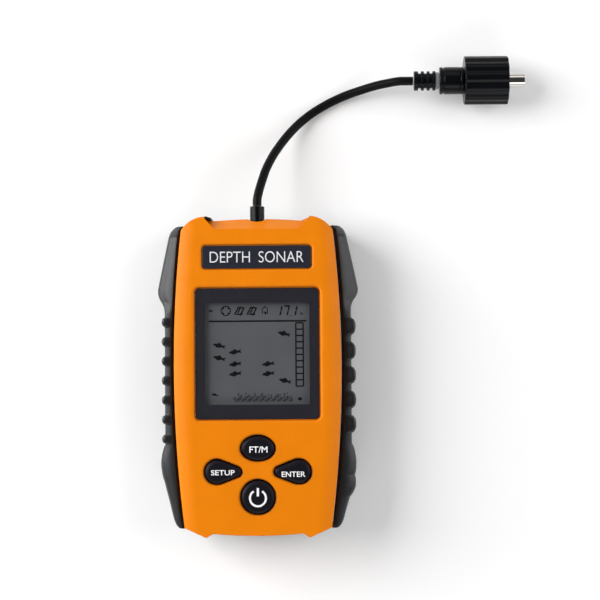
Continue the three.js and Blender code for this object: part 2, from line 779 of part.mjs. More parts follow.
const flangeTop = faceInside - gap;
const flangeLow = flangeTop - keyFlangeThickness;
const domeTop = boardTop + gap + domeHeight;
const postLow = domeTop + keyTravel + gap;
const matTop = flangeLow - keyTravel - gap;
const keyTop = caseDepth + keyProud;

function keyPiece(key) {
  const cap = pillow(key.shape(-keyGap), flangeLow, keyTop, keyCrown, 0.9, 2, 7);
  const flange = slab(key.shape(keyFlange), flangeLow, flangeTop, 5);
  const post = cylinderZ(key.x, key.y, postRadius, postLow, flangeLow + 0.5, 10);
  return joinAll([cap, flange, post]);
}

function keypadMat() {
  const rim = domeRadius + matRim + 0.5;
  const width = 2 * (sideKey.x + rim);
  const low = powerKey.y - rim;
  const high = unitKey.y + rim;
  const middle = (low + high) / 2;
  return cutAll(card(0, middle, width, high - low, 1.5, boardTop + gap, matTop), [
    card(0, middle, width - 2 * matRim, high - low - 2 * matRim, 0, 0, matTop - matThickness),
    ...keys.map((key) => cylinderZ(key.x, key.y, postRadius + 0.5, 0, caseDepth, 12)),
  ]);
}

add('keypad_mat', keypadMat(), 'keyRubber');
for (const key of keys) {
  add(key.name, keyPiece(key), 'keyRubber');
  add(key.name.replace('button', 'dome'), turnedZ([
    [0, domeTop - domeHeight],
    [domeRadius, domeTop - domeHeight],
    [domeRadius * 0.6, domeTop - domeHeight * 0.25],
    [0, domeTop],
  ], key.x, key.y, 12), 'springSteel');
}

// ---- circuit board ------------------------------------------------------------------------

function mainBoard() {
  const middle = (boardTopY + boardBottomY) / 2;
  const length = boardTopY - boardBottomY;
  return cutAll(
    card(0, middle, boardWidth, length, 2, boardBottom, boardTop),
    boardScrewPlaces.map(([x, y]) => (
      cylinderZ(x, y, boardScrewRadius + gap, boardBottom - 1, boardTop + 1, 8))),
  );
}

// Parts soldered under the board hang down from this height.
const hangFrom = boardBottom - gap;

add('main_pcb', mainBoard(), 'boardGreen');
add('microcontroller', box(-6, 6, -14, -2, hangFrom - 1.6, hangFrom), 'chipBlack');
add('driver_chip', box(-19, -11, 17, 22, hangFrom - 1.6, hangFrom), 'chipBlack');
add('pulse_transformer', turnedZ([
  [0, hangFrom - transformerHeight],
  [transformerRadius, hangFrom - transformerHeight],
  [transformerRadius, hangFrom - transformerHeight + 2.6],
  [transformerRadius - 1.6, hangFrom - transformerHeight + 2.9],
  [transformerRadius - 1.6, hangFrom - 2.9],
  [transformerRadius, hangFrom - 2.6],
  [transformerRadius, hangFrom],
  [0, hangFrom],
], 13, 30), 'ferriteGrey');
add('buzzer', turnedZ([
  [0, hangFrom - buzzerHeight + 1],
  [1.2, hangFrom - buzzerHeight + 1],
  [1.2, hangFrom - buzzerHeight],
  [buzzerRadius, hangFrom - buzzerHeight],
  [buzzerRadius, hangFrom],
  [0, hangFrom],
], -12, 36), 'chipBlack');
add('capacitor', turnedZ([
  [0, hangFrom - capacitorHeight],
  [capacitorRadius - 0.4, hangFrom - capacitorHeight],
  [capacitorRadius, hangFrom - capacitorHeight + 0.4],
  [capacitorRadius, hangFrom],
  [0, hangFrom],
], 0, 18, 20), 'canAluminium');

// ---- screws -------------------------------------------------------------------------------

// A pan-head screw that points up, with a cross slot in its head.
function screw(x, y, headRadius, headHeight, radius, headLow, tip) {
  const seat = headLow + headHeight;
  const body = turnedZ([
    [0, headLow],
    [headRadius * 0.7, headLow],
    [headRadius, headLow + headHeight * 0.4],
    [headRadius, seat],
    [radius, seat],
    [radius, tip - 1.4],
    [radius * 0.5, tip - 0.4],
    [0, tip],
  ], x, y, 12);
  const arm = headRadius * 0.6;
  const width = headRadius * 0.14;
  return cutAll(body, [
    box(x - arm, x + arm, y - width, y + width, headLow - 1, headLow + 0.9),
    box(x - width, x + width, y - arm, y + arm, headLow - 1, headLow + 0.9),
  ]);
}

screwPlaces.forEach(([x, y], i) => {
  const low = screwSeat(y) - screwHeadHeight;
  add(`case_screw_${i + 1}`, screw(
    x, y, screwHeadRadius, screwHeadHeight, screwRadius, low, screwTip), 'screwSteel');
});
boardScrewPlaces.forEach(([x, y], i) => {
  const headHeight = 1.2;
  const low = hangFrom - headHeight;
  add(`board_screw_${i + 1}`, screw(
    x, y, 1.9, headHeight, boardScrewRadius, low, boardTop + 4), 'screwSteel');
});

// ---- battery bay --------------------------------------------------------------------------

// Cells lie side by side and point up and down in turn; each has its spring at the flat end.
const cells = [-1.5, -0.5, 0.5, 1.5].map((place, i) => ({
  x: place * cellPitch,
  up: i % 2 ? -1 : 1,
}));
const contactFace = bayLength / 2 - contactSpan;

cells.forEach(({ x, up }, i) => {
  const nubEnd = contactFace - gap;
  const flatEnd = nubEnd - cellLength;
  const shoulder = nubEnd - cellNub;
  const profile = [
    [0, flatEnd],
    [cellRadius - 0.5, flatEnd],
    [cellRadius, flatEnd + 0.5],
    [cellRadius, shoulder - 0.5],
    [cellRadius - 0.6, shoulder],
    [1.9, shoulder],
    [1.9, nubEnd],
    [0, nubEnd],
  ];
  const cell = turned(profile, 14);
  if (up < 0) cell.rotateX(Math.PI);
  add(`aaa_cell_${i + 1}`, solid(cell.translate(x, bayMiddleY, cellHeight)), 'cellJacket');

  const turns = 2.5;
  const stepsPerTurn = 8;
  const from = -contactFace + springWire + gap;
  const to = flatEnd - springWire - gap;
  const points = [];
  for (let step = 0; step <= turns * stepsPerTurn; step += 1) {
    const share = step / (turns * stepsPerTurn);
    const angle = 2 * Math.PI * turns * share;
    const radius = 3.6 - 1.6 * share;
    points.push([
      radius * Math.cos(angle),
      from + (to - from) * share,
      radius * Math.sin(angle),
    ]);
  }
  const spring = tube(points, springWire, turns * stepsPerTurn, 5);
  if (up < 0) spring.rotateX(Math.PI);
  add(`battery_spring_${i + 1}`, solid(spring.translate(x, bayMiddleY, cellHeight)), 'springSteel');
});

// Each contact spans the cells from the first to the last one that it names.
const contacts = [
  { name: 'contact_lower_left', end: -1, first: 0, last: 1 },
  { name: 'contact_lower_right', end: -1, first: 2, last: 3 },
  { name: 'contact_upper_left', end: 1, first: 0, last: 0, tab: true },
  { name: 'contact_upper_middle', end: 1, first: 1, last: 2 },
  { name: 'contact_upper_right', end: 1, first: 3, last: 3, tab: true },
];
const tabTop = bayRoof + bayCeiling + 1.6;

for (const contact of contacts) {
  const wallY = contact.end > 0 ? bayTopY - gap : bayBottomY + gap;
  const faceY = wallY - contact.end * contactThickness;
  const low = Math.min(wallY, faceY);
  const high = Math.max(wallY, faceY);
  const left = cells[contact.first].x - contactHeight / 2;
  const right = cells[contact.last].x + contactHeight / 2;
  const plate = box(
    left, right, low, high, cellHeight - contactHeight / 2, cellHeight + contactHeight / 2);
  const tab = box(
    (left + right) / 2 - 1.2, (left + right) / 2 + 1.2, low, high, cellHeight, tabTop);
  add(contact.name, contact.tab ? plate.add(tab) : plate, 'springSteel');
}

for (const side of sides) {
  const x = side * 1.5 * cellPitch;
  const y = bayTopY - gap - contactThickness / 2;
  const wire = tube([
    [x, y, tabTop + gap],
    [x, y, tabTop + 1.1],
    [x, y + 2.6, tabTop + 2.6],
    [x, y + 6, tabTop + 2.2],
    [x, y + 8.6, hangFrom - 1.1],
    [x, y + 8.6, hangFrom - 0.1],
  ], 0.6, 12, 6);
  add(side < 0 ? 'battery_wire_minus' : 'battery_wire_plus', wire, side < 0 ? 'blackWire' : 'redWire');
}

// ---- lead, boot and plug ------------------------------------------------------------------

add('cable_boot', turnedY([
  [0, cavityTopY - 2],
  [bootFlangeRadius, cavityTopY - 2],
  [bootFlangeRadius, cavityTopY - gap],
  [bootRadius, cavityTopY - gap],
  [bootRadius, bootEndY - 0.9],
  [bootRadius - 0.6, bootEndY],
  [0, bootEndY],
], 0, bootHeight, 24), 'plugPlastic');

add('lead_tail', tube([
  [0, cavityTopY - 2 - gap, bootHeight],
  [0, cavityTopY - 3.4, bootHeight],
  [0, cavityTopY - 5.6, bootHeight - 1.6],
  [0, cavityTopY - 7.6, boardBottom - 2.6],
  [0, cavityTopY - 10.2, boardBottom - 4],
  [0, cavityTopY - 12.2, boardBottom - 2.8],
  [0, cavityTopY - 12.8, hangFrom - 1.1],
  [0, cavityTopY - 12.8, hangFrom - 0.1],
], 1.2, 12, 8), 'leadJacket');

add('lead', tube(leadRoute, leadRadius, 22, 8), 'leadJacket');

// stations along the plug's axis
const reliefStart = leadEnd.x + gap;
const bodyStart = reliefStart + reliefLength;
const nutStart = bodyStart + gap + plugBodyLength + gap;
const nutEnd = nutStart + nutLength;
const neckEnd = nutStart + nutBackWall + gap;
const flangeEnd = neckEnd + plugFlangeLength;
const sleeveEnd = nutEnd + sleeveReach;
const sealEnd = flangeEnd + gap + 1.5;

function strainRelief() {
  const tail = 2.7;
  const ringPitch = (reliefLength - 3.2) / reliefRings;
  const profile = [[0, reliefStart], [tail, reliefStart]];
  for (let i = 0; i < reliefRings; i += 1) {
    const at = reliefStart + 0.6 + i * ringPitch;
    profile.push(
      [reliefRadius - 0.1, at],
      [reliefRadius, at + ringPitch - 0.9],
      [tail, at + ringPitch - 0.8],
      [tail, at + ringPitch - 0.1],
    );
  }
  const collar = bodyStart - 1.1;
  profile.push([reliefRadius, collar - 1.4], [reliefRadius, collar], [3.4, collar]);
  profile.push([3.4, bodyStart], [0, bodyStart]);
  return turnedX(profile, leadEnd.y, leadEnd.z, 20);
}

function plugBody() {
  const start = bodyStart + gap;
  const end = start + plugBodyLength;
  return turnedX([
    [0, start],
    [plugBodyRadius - 0.5, start],
    [plugBodyRadius - 0.1, start + 0.5],
    [plugBodyRadius - 0.1, start + 3],
    [plugBodyRadius - 0.5, start + 3.2],
    [plugBodyRadius - 0.5, start + 3.7],
    [plugBodyRadius, start + 3.9],
    [plugBodyRadius, end],
    [plugNeckRadius, end],
    [plugNeckRadius, neckEnd],
    [plugFlangeRadius, neckEnd],
    [plugFlangeRadius, flangeEnd],
    [0, flangeEnd],
  ], leadEnd.y, leadEnd.z, 20);
}

// Loose nut: a fluted cap that is hollow towards the tip and turns on the body's neck.
function couplingNut() {
  const outline = new THREE.Shape();
  const stepsPerFlute = 4;
  const total = nutFlutes * stepsPerFlute;
  for (let i = 0; i < total; i += 1) {
    const turn = (2 * Math.PI * i) / total;
    const wave = Math.abs(Math.cos((nutFlutes * turn) / 2));
    const radius = nutRadius - nutFluteDepth * (1 - Math.sqrt(1 - (1 - wave) ** 2));
    outline[i ? 'lineTo' : 'moveTo'](radius * Math.cos(turn), radius * Math.sin(turn));
  }
  const rim = 0.6;
  const fluted = new THREE.ExtrudeGeometry(outline, {
    depth: nutLength - 2 * rim,
    bevelEnabled: true,
    bevelSize: rim,
    bevelOffset: -rim,
    bevelThickness: rim,
    bevelSegments: 1,
    curveSegments: 1,
  });
  fluted.translate(0, 0, rim).rotateY(Math.PI / 2).translate(nutStart, leadEnd.y, leadEnd.z);
  return cutAll(solid(fluted), [
    turnedX([
      [0, nutStart - 1],
      [plugNeckRadius + gap, nutStart - 1],
      [plugNeckRadius + gap, nutStart + nutBackWall],
      [nutBore, nutStart + nutBackWall],
      [nutBore, nutEnd - 0.8],
      [nutBore + 0.7, nutEnd],
      [nutBore + 0.7, nutEnd + 1],
      [0, nutEnd + 1],
    ], leadEnd.y, leadEnd.z, 24),
  ]);
}

add('plug_strain_relief', strainRelief(), 'plugPlastic');
add('plug_body', plugBody(), 'plugPlastic');
add('coupling_nut', couplingNut(), 'plugPlastic');
add('plug_seal', turnedX([
  [sleeveRadius + gap, flangeEnd + gap],
  [plugFlangeRadius - 0.6, flangeEnd + gap],
  [plugFlangeRadius - 0.6, sealEnd],
  [sleeveRadius + gap, sealEnd],
  [sleeveRadius + gap, flangeEnd + gap],
], leadEnd.y, leadEnd.z, 24), 'sealRubber');
add('plug_barrel', turnedX([
  [sleeveBore, flangeEnd + gap],
  [sleeveRadius, flangeEnd + gap],
  [sleeveRadius, sleeveEnd - 0.4],
  [sleeveRadius - 0.25, sleeveEnd],
  [sleeveBore, sleeveEnd],
  [sleeveBore, flangeEnd + gap],
], leadEnd.y, leadEnd.z, 24), 'sleeveChrome');
add('plug_insulator', turnedX([
  [0, flangeEnd + gap],
  [sleeveBore - gap, flangeEnd + gap],
  [sleeveBore - gap, sleeveEnd - 0.8],
  [insulatorBore, sleeveEnd - 0.8],
  [insulatorBore, sleeveEnd - 9],
  [0, sleeveEnd - 9],
], leadEnd.y, leadEnd.z, 16), 'blackWire');

export default group;
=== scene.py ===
import math
from functools import partial

import bmesh
import bpy
from mathutils import Matrix, Vector


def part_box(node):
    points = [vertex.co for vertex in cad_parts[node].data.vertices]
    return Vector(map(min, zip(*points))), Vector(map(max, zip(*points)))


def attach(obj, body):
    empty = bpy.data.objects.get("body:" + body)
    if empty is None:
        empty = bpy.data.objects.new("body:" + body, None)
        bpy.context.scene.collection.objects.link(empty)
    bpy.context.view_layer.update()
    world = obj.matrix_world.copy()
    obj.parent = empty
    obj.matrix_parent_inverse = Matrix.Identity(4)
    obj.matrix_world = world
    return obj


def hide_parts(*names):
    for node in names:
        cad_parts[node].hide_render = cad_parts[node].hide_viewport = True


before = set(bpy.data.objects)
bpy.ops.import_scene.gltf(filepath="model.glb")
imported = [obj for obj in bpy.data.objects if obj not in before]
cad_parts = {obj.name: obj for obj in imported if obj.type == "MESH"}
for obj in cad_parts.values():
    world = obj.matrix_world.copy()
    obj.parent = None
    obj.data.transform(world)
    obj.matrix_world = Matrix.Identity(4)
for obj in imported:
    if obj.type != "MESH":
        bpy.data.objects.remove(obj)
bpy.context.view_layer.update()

mm = 0.001


# ---- camera ----
# A long lens looks almost straight down on the case, from a little towards its lower right,
# so the case and the whole lead are in view.

camera_height = 0.703
camera_lens = 106.9
film_width = 36
camera_yaw = math.radians(0.73)
camera_tilt = math.radians(-2.10)
camera_roll = math.radians(-0.39)
looked_at = Vector((0.01602, 0.02926, 0.015))


def shown(name, data):
    """A new object in the scene."""
    thing = bpy.data.objects.new(name, data)
    bpy.context.scene.collection.objects.link(thing)
    return thing


toward = Vector((math.tan(camera_yaw), math.tan(camera_tilt), 1)).normalized()
upward = (Vector((0, 1, 0)) - toward * toward.y).normalized()
rightward = upward.cross(toward)
axes = Matrix((rightward, upward, toward)).transposed() @ Matrix.Rotation(camera_roll, 3, "Z")
camera = shown("camera", bpy.data.cameras.new("camera"))
camera.data.lens = camera_lens
camera.data.sensor_width = film_width
camera.data.clip_start = 0.05
camera.matrix_world = Matrix.Translation(
    looked_at + toward * (camera_height - looked_at.z) / toward.z) @ axes.to_4x4()
bpy.context.scene.camera = camera


# ---- sonar lead ----
# A short round cable in a satin black jacket. It leaves the boot at the top end, sinks to the
# table in one loose bend and rises again into the plug's strain relief.

lead_radius = 1.7
lead_route = [
    (0, 65.1, 24), (0, 67.2, 24), (0.5, 70, 23.3), (1.2, 72.8, 22), (2.1, 76, 20.3),
    (3.1, 79.2, 18.3), (4.4, 82.4, 15.9), (5.9, 85.5, 13.5), (7.7, 88.6, 11),
    (9.8, 91.8, 8.5), (12.2, 95, 6.1), (15, 98.2, 4), (18.3, 101.3, 2.5), (22.2, 104.2, 1.9),
    (26.6, 106.8, 1.8), (31.3, 109.1, 2), (36.1, 110.9, 2.9), (41, 112.3, 4.3),
    (45.9, 113.5, 6), (50.8, 114.3, 7.7), (55.4, 114.8, 9.2), (58.4, 114.8, 9.5),
    (60.7, 114.8, 9.5),
]


def surface(name):
    """A new material, its node tree and its main shader."""
    material = bpy.data.materials.new(name)
    material.use_nodes = True
    return material, material.node_tree, material.node_tree.nodes["Principled BSDF"]


def noise(tree, place, scale, detail):
    """How strong a noise texture is at a place."""
    texture = tree.nodes.new("ShaderNodeTexNoise")
    texture.inputs["Scale"].default_value = scale
    texture.inputs["Detail"].default_value = detail
    tree.links.new(place, texture.inputs["Vector"])
    return texture.outputs["Fac"]


def led_between(tree, value, low, high, socket):
    """A value from 0 to 1, led to a socket as low to high."""
    limits = tree.nodes.new("ShaderNodeMapRange")
    limits.inputs["To Min"].default_value = low
    limits.inputs["To Max"].default_value = high
    tree.links.new(value, limits.inputs["Value"])
    tree.links.new(limits.outputs["Result"], socket)


def ramped(tree, value, stops, socket, blend="LINEAR"):
    """A value from 0 to 1, led to a socket as colours; stops are (position, colour) pairs."""
    ramp = tree.nodes.new("ShaderNodeValToRGB")
    ramp.color_ramp.interpolation = blend
    elements = ramp.color_ramp.elements
    elements.remove(elements[1])
    elements[0].position = stops[0][0]
    elements[0].color = (*stops[0][1], 1)
    for position, colour in stops[1:]:
        elements.new(position).color = (*colour, 1)
    tree.links.new(value, ramp.inputs["Fac"])
    tree.links.new(ramp.outputs["Color"], socket)


def tinted(tree, value, colour, mottle, ends, socket):
    """A colour that a value makes a little darker or lighter, led to a socket."""
    dark = [c * (1 - mottle) for c in colour]
    light = [min(1, c * (1 + mottle)) for c in colour]
    ramped(tree, value, list(zip(ends, (dark, light))), socket)


def plastic(
        name, colour, roughness, mottle=0.1, unevenness=0.06, skin=2600, depth=0.04, shine=0.3):
    """Plastic or rubber from a mould: slightly cloudy colour, uneven gloss and a fine skin."""
    material, tree, shader = surface(name)
    place = tree.nodes.new("ShaderNodeTexCoord").outputs["Object"]
    clouds = noise(tree, place, 90, 3)
    tinted(tree, clouds, colour, mottle, (0.3, 0.7), shader.inputs["Base Color"])
    patches = noise(tree, place, 350, 4)
    led_between(
        tree, patches, roughness - unevenness, roughness + unevenness,
        shader.inputs["Roughness"])
    bump = tree.nodes.new("ShaderNodeBump")
    bump.inputs["Strength"].default_value = depth
    bump.inputs["Distance"].default_value = 0.0001
    tree.links.new(noise(tree, place, skin, 2), bump.inputs["Height"])
    tree.links.new(bump.outputs["Normal"], shader.inputs["Normal"])
    shader.inputs["Specular IOR Level"].default_value = shine
    return material


lead_jacket = plastic("lead_jacket", (0.0035, 0.0035, 0.004), 0.4, shine=0.09)
line = bpy.data.curves.new("sonar_lead", "CURVE")
line.dimensions = "3D"
run = line.splines.new("BEZIER")
run.bezier_points.add(len(lead_route) - 1)
for knot, point in zip(run.bezier_points, lead_route):
    knot.co = Vector(point) * mm
    knot.handle_left_type = knot.handle_right_type = "AUTO"
run.resolution_u = 8
line.bevel_depth = lead_radius * mm
line.bevel_resolution = 6
line.use_fill_caps = True
line.materials.append(lead_jacket)
lead = shown("sonar_lead", line)
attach(lead, "case")
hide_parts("lead")


# ---- boot ----
# Black sleeve that holds the lead in the top end wall: a straight collar with an eased mouth
# outside, and a flange behind the wall that keeps it from pulling out.


def to_piece(shape, name):
    """Millimetres to metres, faces outwards, and an object in the scene."""
    bmesh.ops.scale(shape, vec=(mm, mm, mm), verts=shape.verts)
    bmesh.ops.recalc_face_normals(shape, faces=shape.faces)
    mesh = bpy.data.meshes.new(name)
    shape.to_mesh(mesh)
    shape.free()
    return shown(name, mesh)


def settle(piece):
    """The mesh becomes what its modifiers show."""
    graph = bpy.context.evaluated_depsgraph_get()
    final = bpy.data.meshes.new_from_object(piece.evaluated_get(graph))
    piece.modifiers.clear()
    piece.data = final


def finish_surface(piece, finishes, slot, body, *nodes, crease=32):
    """Smooth faces that stay flat beside their rounded edges, then finish and body."""
    for finish in finishes:
        piece.data.materials.append(finish)
    piece.data.polygons.foreach_set("use_smooth", [True] * len(piece.data.polygons))
    piece.data.set_sharp_from_angle(angle=math.radians(crease))
    weighted = piece.modifiers.new("weighted", "WEIGHTED_NORMAL")
    weighted.keep_sharp = True
    settle(piece)
    piece.data.name = piece.name
    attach(piece, body)
    if nodes:
        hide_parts(*nodes)


def spun(profile, facing, place):
    """A profile of (station, radius) pairs spun about X, then faced and placed."""
    shape = bmesh.new()
    corners = [shape.verts.new((station, radius, 0)) for station, radius in profile]
    edges = [shape.edges.new(pair) for pair in zip(corners, corners[1:])]
    bmesh.ops.spin(
        shape, geom=corners + edges, axis=(1, 0, 0), cent=(0, 0, 0), angle=2 * math.pi,
        steps=64, use_merge=True)
    bmesh.ops.remove_doubles(shape, verts=shape.verts, dist=1e-5)
    bmesh.ops.transform(shape, matrix=Matrix.Translation(place) @ facing, verts=shape.verts)
    return shape


def eased(profile, radius):
    """The same profile with each inner corner rounded, as far as its two sides allow."""
    points = [profile[0]]
    for before, corner, after in zip(profile, profile[1:], profile[2:]):
        before, corner, after = Vector(before), Vector(corner), Vector(after)
        reach = min(radius, (before - corner).length * 0.45, (after - corner).length * 0.45)
        start = corner + (before - corner).normalized() * reach
        end = corner + (after - corner).normalized() * reach
        points.append(tuple(start))
        for t in (1 / 3, 2 / 3, 1):
            points.append(tuple(
                start * (1 - t) ** 2 + corner * 2 * t * (1 - t) + end * t * t))
    return points + [profile[-1]]


def box_of(node):
    """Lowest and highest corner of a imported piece, in millimetres."""
    low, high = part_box(node)
    return low / mm, high / mm


along_x = Matrix.Identity(4)
along_y = Matrix.Rotation(math.pi / 2, 4, "Z")
boot_low, boot_high = box_of("cable_boot")
boot_z = (boot_low.z + boot_high.z) / 2
boot_radius = 2.75
boot_flange = 3.9
boot_flange_end = boot_low.y + 1.7
boot_mouth = boot_high.y - 0.6
plug_black = plastic("plug_black", (0.003, 0.0034, 0.0044), 0.24, unevenness=0.07, shine=0.12)
boot = to_piece(spun(eased([
    (boot_low.y, 0), (boot_low.y, boot_flange), (boot_flange_end, boot_flange),
    (boot_flange_end, boot_radius), (boot_high.y, boot_radius),
    (boot_high.y, lead_radius + 0.2), (boot_mouth, lead_radius + 0.1), (boot_mouth, 0),
], 0.6), along_y, (0, 0, boot_z)), "boot")
finish_surface(boot, [plug_black], "plug_plastic", "case", "cable_boot")


# ---- plug: strain relief ----
# Ribbed tail of the plug, moulded over the lead: a collar and three rings with deep grooves
# between them, so that it bends, and a neck where it enters the housing, painted pale grey as a
# painted highlight for the light that it reflects.

plug_middle = (0, *lead_route[-1][1:])
relief_low, relief_high = box_of("plug_strain_relief")
relief_start = relief_low.x
rib_radius = 3.8
groove_radius = 2.95
neck_radius = 3.3
rib_pitch = 2.25
groove_width = 1.1
first_groove = relief_start + 1.65
neck_start = relief_high.x - 1.3
relief_profile = [
    (relief_start, 0), (relief_start, lead_radius + 0.25), (relief_start, rib_radius)]
for i in range(3):
    groove = first_groove + i * rib_pitch
    relief_profile += [
        (groove, rib_radius), (groove, groove_radius), (groove + groove_width, groove_radius),
        (groove + groove_width, rib_radius)]
relief_profile += [
    (neck_start, rib_radius), (neck_start, neck_radius), (relief_high.x, neck_radius),
    (relief_high.x, 0)]
# the neck's pale grey is a painted highlight: it stands for the light the neck reflects, not for
# its own colour
neck_painted_highlight = plastic("neck_painted_highlight", (0.3, 0.31, 0.33), 0.45)
relief = to_piece(spun(eased(relief_profile, 0.28), along_x, plug_middle), "strain_relief")
# faces past the neck's start take the pale grey painted highlight
for face in relief.data.polygons:
    if face.center.x > (neck_start + 0.05) * mm:
        face.material_index = 1
finish_surface(relief, [plug_black, neck_painted_highlight], "plug_plastic", "case", "plug_strain_relief")


# ---- plug: housing ----
# Black moulded barrel that the fingers hold. A shallow groove runs round it, and behind the
# nut it narrows to a neck with a flange, which keeps the loose nut from falling off.

housing_low, housing_high = box_of("plug_body")
nut_low, nut_high = box_of("coupling_nut")
housing_start = housing_low.x
housing_radius = 5.3
housing_end = nut_low.x - 0.3
housing_neck = 4
flange_radius = 6.4
nut_back_wall = 2.4
flange_start = nut_low.x + nut_back_wall + 0.3


def plug_piece(name, profile, rounding, finish, slot, node):
    """A fixed piece of the plug: an eased profile spun about the plug's axis."""
    piece = to_piece(spun(eased(profile, rounding), along_x, plug_middle), name)
    finish_surface(piece, [finish], slot, "case", node)


plug_piece("plug_housing", [
    (housing_start, 0), (housing_start, housing_radius - 0.2),
    (housing_start + 0.3, housing_radius), (housing_start + 1.0, housing_radius),
    (housing_start + 1.2, housing_radius - 0.3), (housing_start + 1.7, housing_radius - 0.3),
    (housing_start + 1.9, housing_radius), (nut_low.x - 1.9, housing_radius),
    (nut_low.x - 1.6, housing_radius - 0.2), (nut_low.x - 1.3, housing_radius),
    (housing_end, housing_radius), (housing_end, housing_neck), (flange_start, housing_neck),
    (flange_start, flange_radius), (housing_high.x, flange_radius), (housing_high.x, 0),
], 0.25, plug_black, "plug_plastic", "plug_body")


# ---- plug: coupling nut ----
# Loose black nut with twelve broad flutes for the fingers. It turns on the housing's neck and
# pulls the plug into its socket; its inside is a plain bore that opens at the tip.

nut_radius = (nut_high.y - nut_low.y) / 2
nut_length = nut_high.x - nut_low.x
nut_flutes = 12
nut_flute_depth = 0.6
nut_flute_steps = 16
nut_hole = 4.3
nut_bore = 7.5
nut_bore_end = nut_low.x + nut_back_wall
nut_mouth = 0.7
nut_edge = 0.4


def quarter(steps):
    """(share out, share up) pairs of a quarter circle that turns from upright to flat."""
    turns = [math.pi / 2 * i / steps for i in range(steps + 1)]
    return [(1 - math.cos(turn), math.sin(turn)) for turn in turns]


def rim(outline, grow, high, inset, drop, steps):
    """Levels of a round rim: the outline draws in as it climbs to its top height."""
    return [
        (outline(grow - inset * out), high - drop * (1 - up)) for out, up in quarter(steps)]


def stack(levels):
    """A solid that passes through each (outline, height) in turn, ends closed."""
    shape = bmesh.new()
    outline, height = levels[0]
    floor = [shape.verts.new((x, y, height)) for x, y in outline]
    top = shape.faces.new(floor)
    for outline, height in levels[1:]:
        top = bmesh.ops.extrude_discrete_faces(shape, faces=[top])["faces"][0]
        for corner, (x, y) in zip(top.verts, outline):
            corner.co = (x, y, height)
    shape.faces.new(list(reversed(floor)))
    return shape


def prism(outline, low, high):
    return stack([(outline, low), (outline, high)])


def combine(piece, tool_shape, operation="DIFFERENCE"):
    tool = to_piece(tool_shape, "tool")
    change = piece.modifiers.new("change", "BOOLEAN")
    change.operation = operation
    change.object = tool
    change.solver = "EXACT"
    settle(piece)
    bpy.data.objects.remove(tool)


def fluted(grow):
    """The nut seen from its end: broad arches that pass smoothly into narrow valleys."""
    points = []
    for i in range(nut_flutes * nut_flute_steps):
        turn = 2 * math.pi * i / (nut_flutes * nut_flute_steps)
        valley = (0.5 - 0.5 * math.cos(nut_flutes * turn)) ** 2
        radius = nut_radius + grow - nut_flute_depth * valley
        points.append((radius * math.cos(turn), radius * math.sin(turn)))
    return points


lower_rim = [(fluted(-nut_edge * out), nut_edge * (1 - up)) for out, up in quarter(4)]
nut_shape = stack(lower_rim[::-1] + rim(fluted, 0, nut_length, nut_edge, nut_edge, 4))
stand = Matrix.Translation((nut_low.x, *plug_middle[1:])) @ Matrix.Rotation(math.pi / 2, 4, "Y")
bmesh.ops.transform(nut_shape, matrix=stand, verts=nut_shape.verts)
nut = to_piece(nut_shape, "nut")
combine(nut, spun([
    (nut_low.x - 1, 0), (nut_low.x - 1, nut_hole), (nut_bore_end, nut_hole),
    (nut_bore_end, nut_bore), (nut_high.x - 0.8, nut_bore), (nut_high.x, nut_bore + nut_mouth),
    (nut_high.x + 1, nut_bore + nut_mouth), (nut_high.x + 1, 0),
], along_x, plug_middle))
finish_surface(nut, [plug_black], "plug_plastic", "nut", "coupling_nut")


# ---- plug: seal ring, sleeve and insulator ----
# Soft ring that seals against the socket's rim, a bright nickel-plated sleeve, and the black
# insulator in it with the bore for the centre pin.

seal_low, seal_high = box_of("plug_seal")
sleeve_low, sleeve_high = box_of("plug_barrel")
core_low, core_high = box_of("plug_insulator")
sleeve_radius = (sleeve_high.y - sleeve_low.y) / 2
sleeve_bore = 2.15
core_radius = (core_high.y - core_low.y) / 2
pin_bore = 0.9
pin_bore_end = core_high.x - 9
seal_radius = (seal_high.y - seal_low.y) / 2
seal_bore = sleeve_radius + 0.3


def ring_profile(low, high, bore, radius):
    """A box that starts and ends at its inner lower corner."""
    return [(low, bore), (low, radius), (high, radius), (high, bore), (low, bore)]


def metal(name, colour, roughness, streak=(1, 1, 1)):
    """Plated or bare metal: clear reflections broken by fine, partly drawn-out marks."""
    material, tree, shader = surface(name)
    shader.inputs["Metallic"].default_value = 1
    place = tree.nodes.new("ShaderNodeTexCoord").outputs["Object"]
    stretch = tree.nodes.new("ShaderNodeMapping")
    stretch.inputs["Scale"].default_value = streak
    tree.links.new(place, stretch.inputs["Vector"])
    marks = noise(tree, stretch.outputs["Vector"], 900, 4)
    tinted(tree, marks, colour, 0.05, (0, 1), shader.inputs["Base Color"])
    led_between(tree, marks, roughness * 0.7, roughness * 1.4, shader.inputs["Roughness"])
    return material


soft_black = plastic("soft_black", (0.012, 0.012, 0.012), 0.7, skin=1500, depth=0.08)
bright_nickel = metal("bright_nickel", (0.7, 0.665, 0.63), 0.1, streak=(1, 0.2, 0.2))
plug_piece(
    "seal_ring", ring_profile(seal_low.x, seal_high.x, seal_bore, seal_radius), 0.35,
    soft_black, "seal_rubber", "plug_seal")
plug_piece(
    "sleeve", ring_profile(sleeve_low.x, sleeve_high.x, sleeve_bore, sleeve_radius), 0.2,
    bright_nickel, "sleeve_chrome", "plug_barrel")
plug_piece("insulator", [
    (core_low.x, 0), (core_low.x, core_radius), (core_high.x, core_radius),
    (core_high.x, pin_bore), (pin_bore_end, pin_bore), (pin_bore_end, 0),
], 0.2, soft_black, "plug_plastic", "plug_insulator")


# ---- front cover ----
# The orange front half of the case, a satin ABS moulding 2.4 mm thick. Its long edges are
# rounded, the window and nameplate have recesses, the keys have holes, and a sloped notch
# clears the lead.

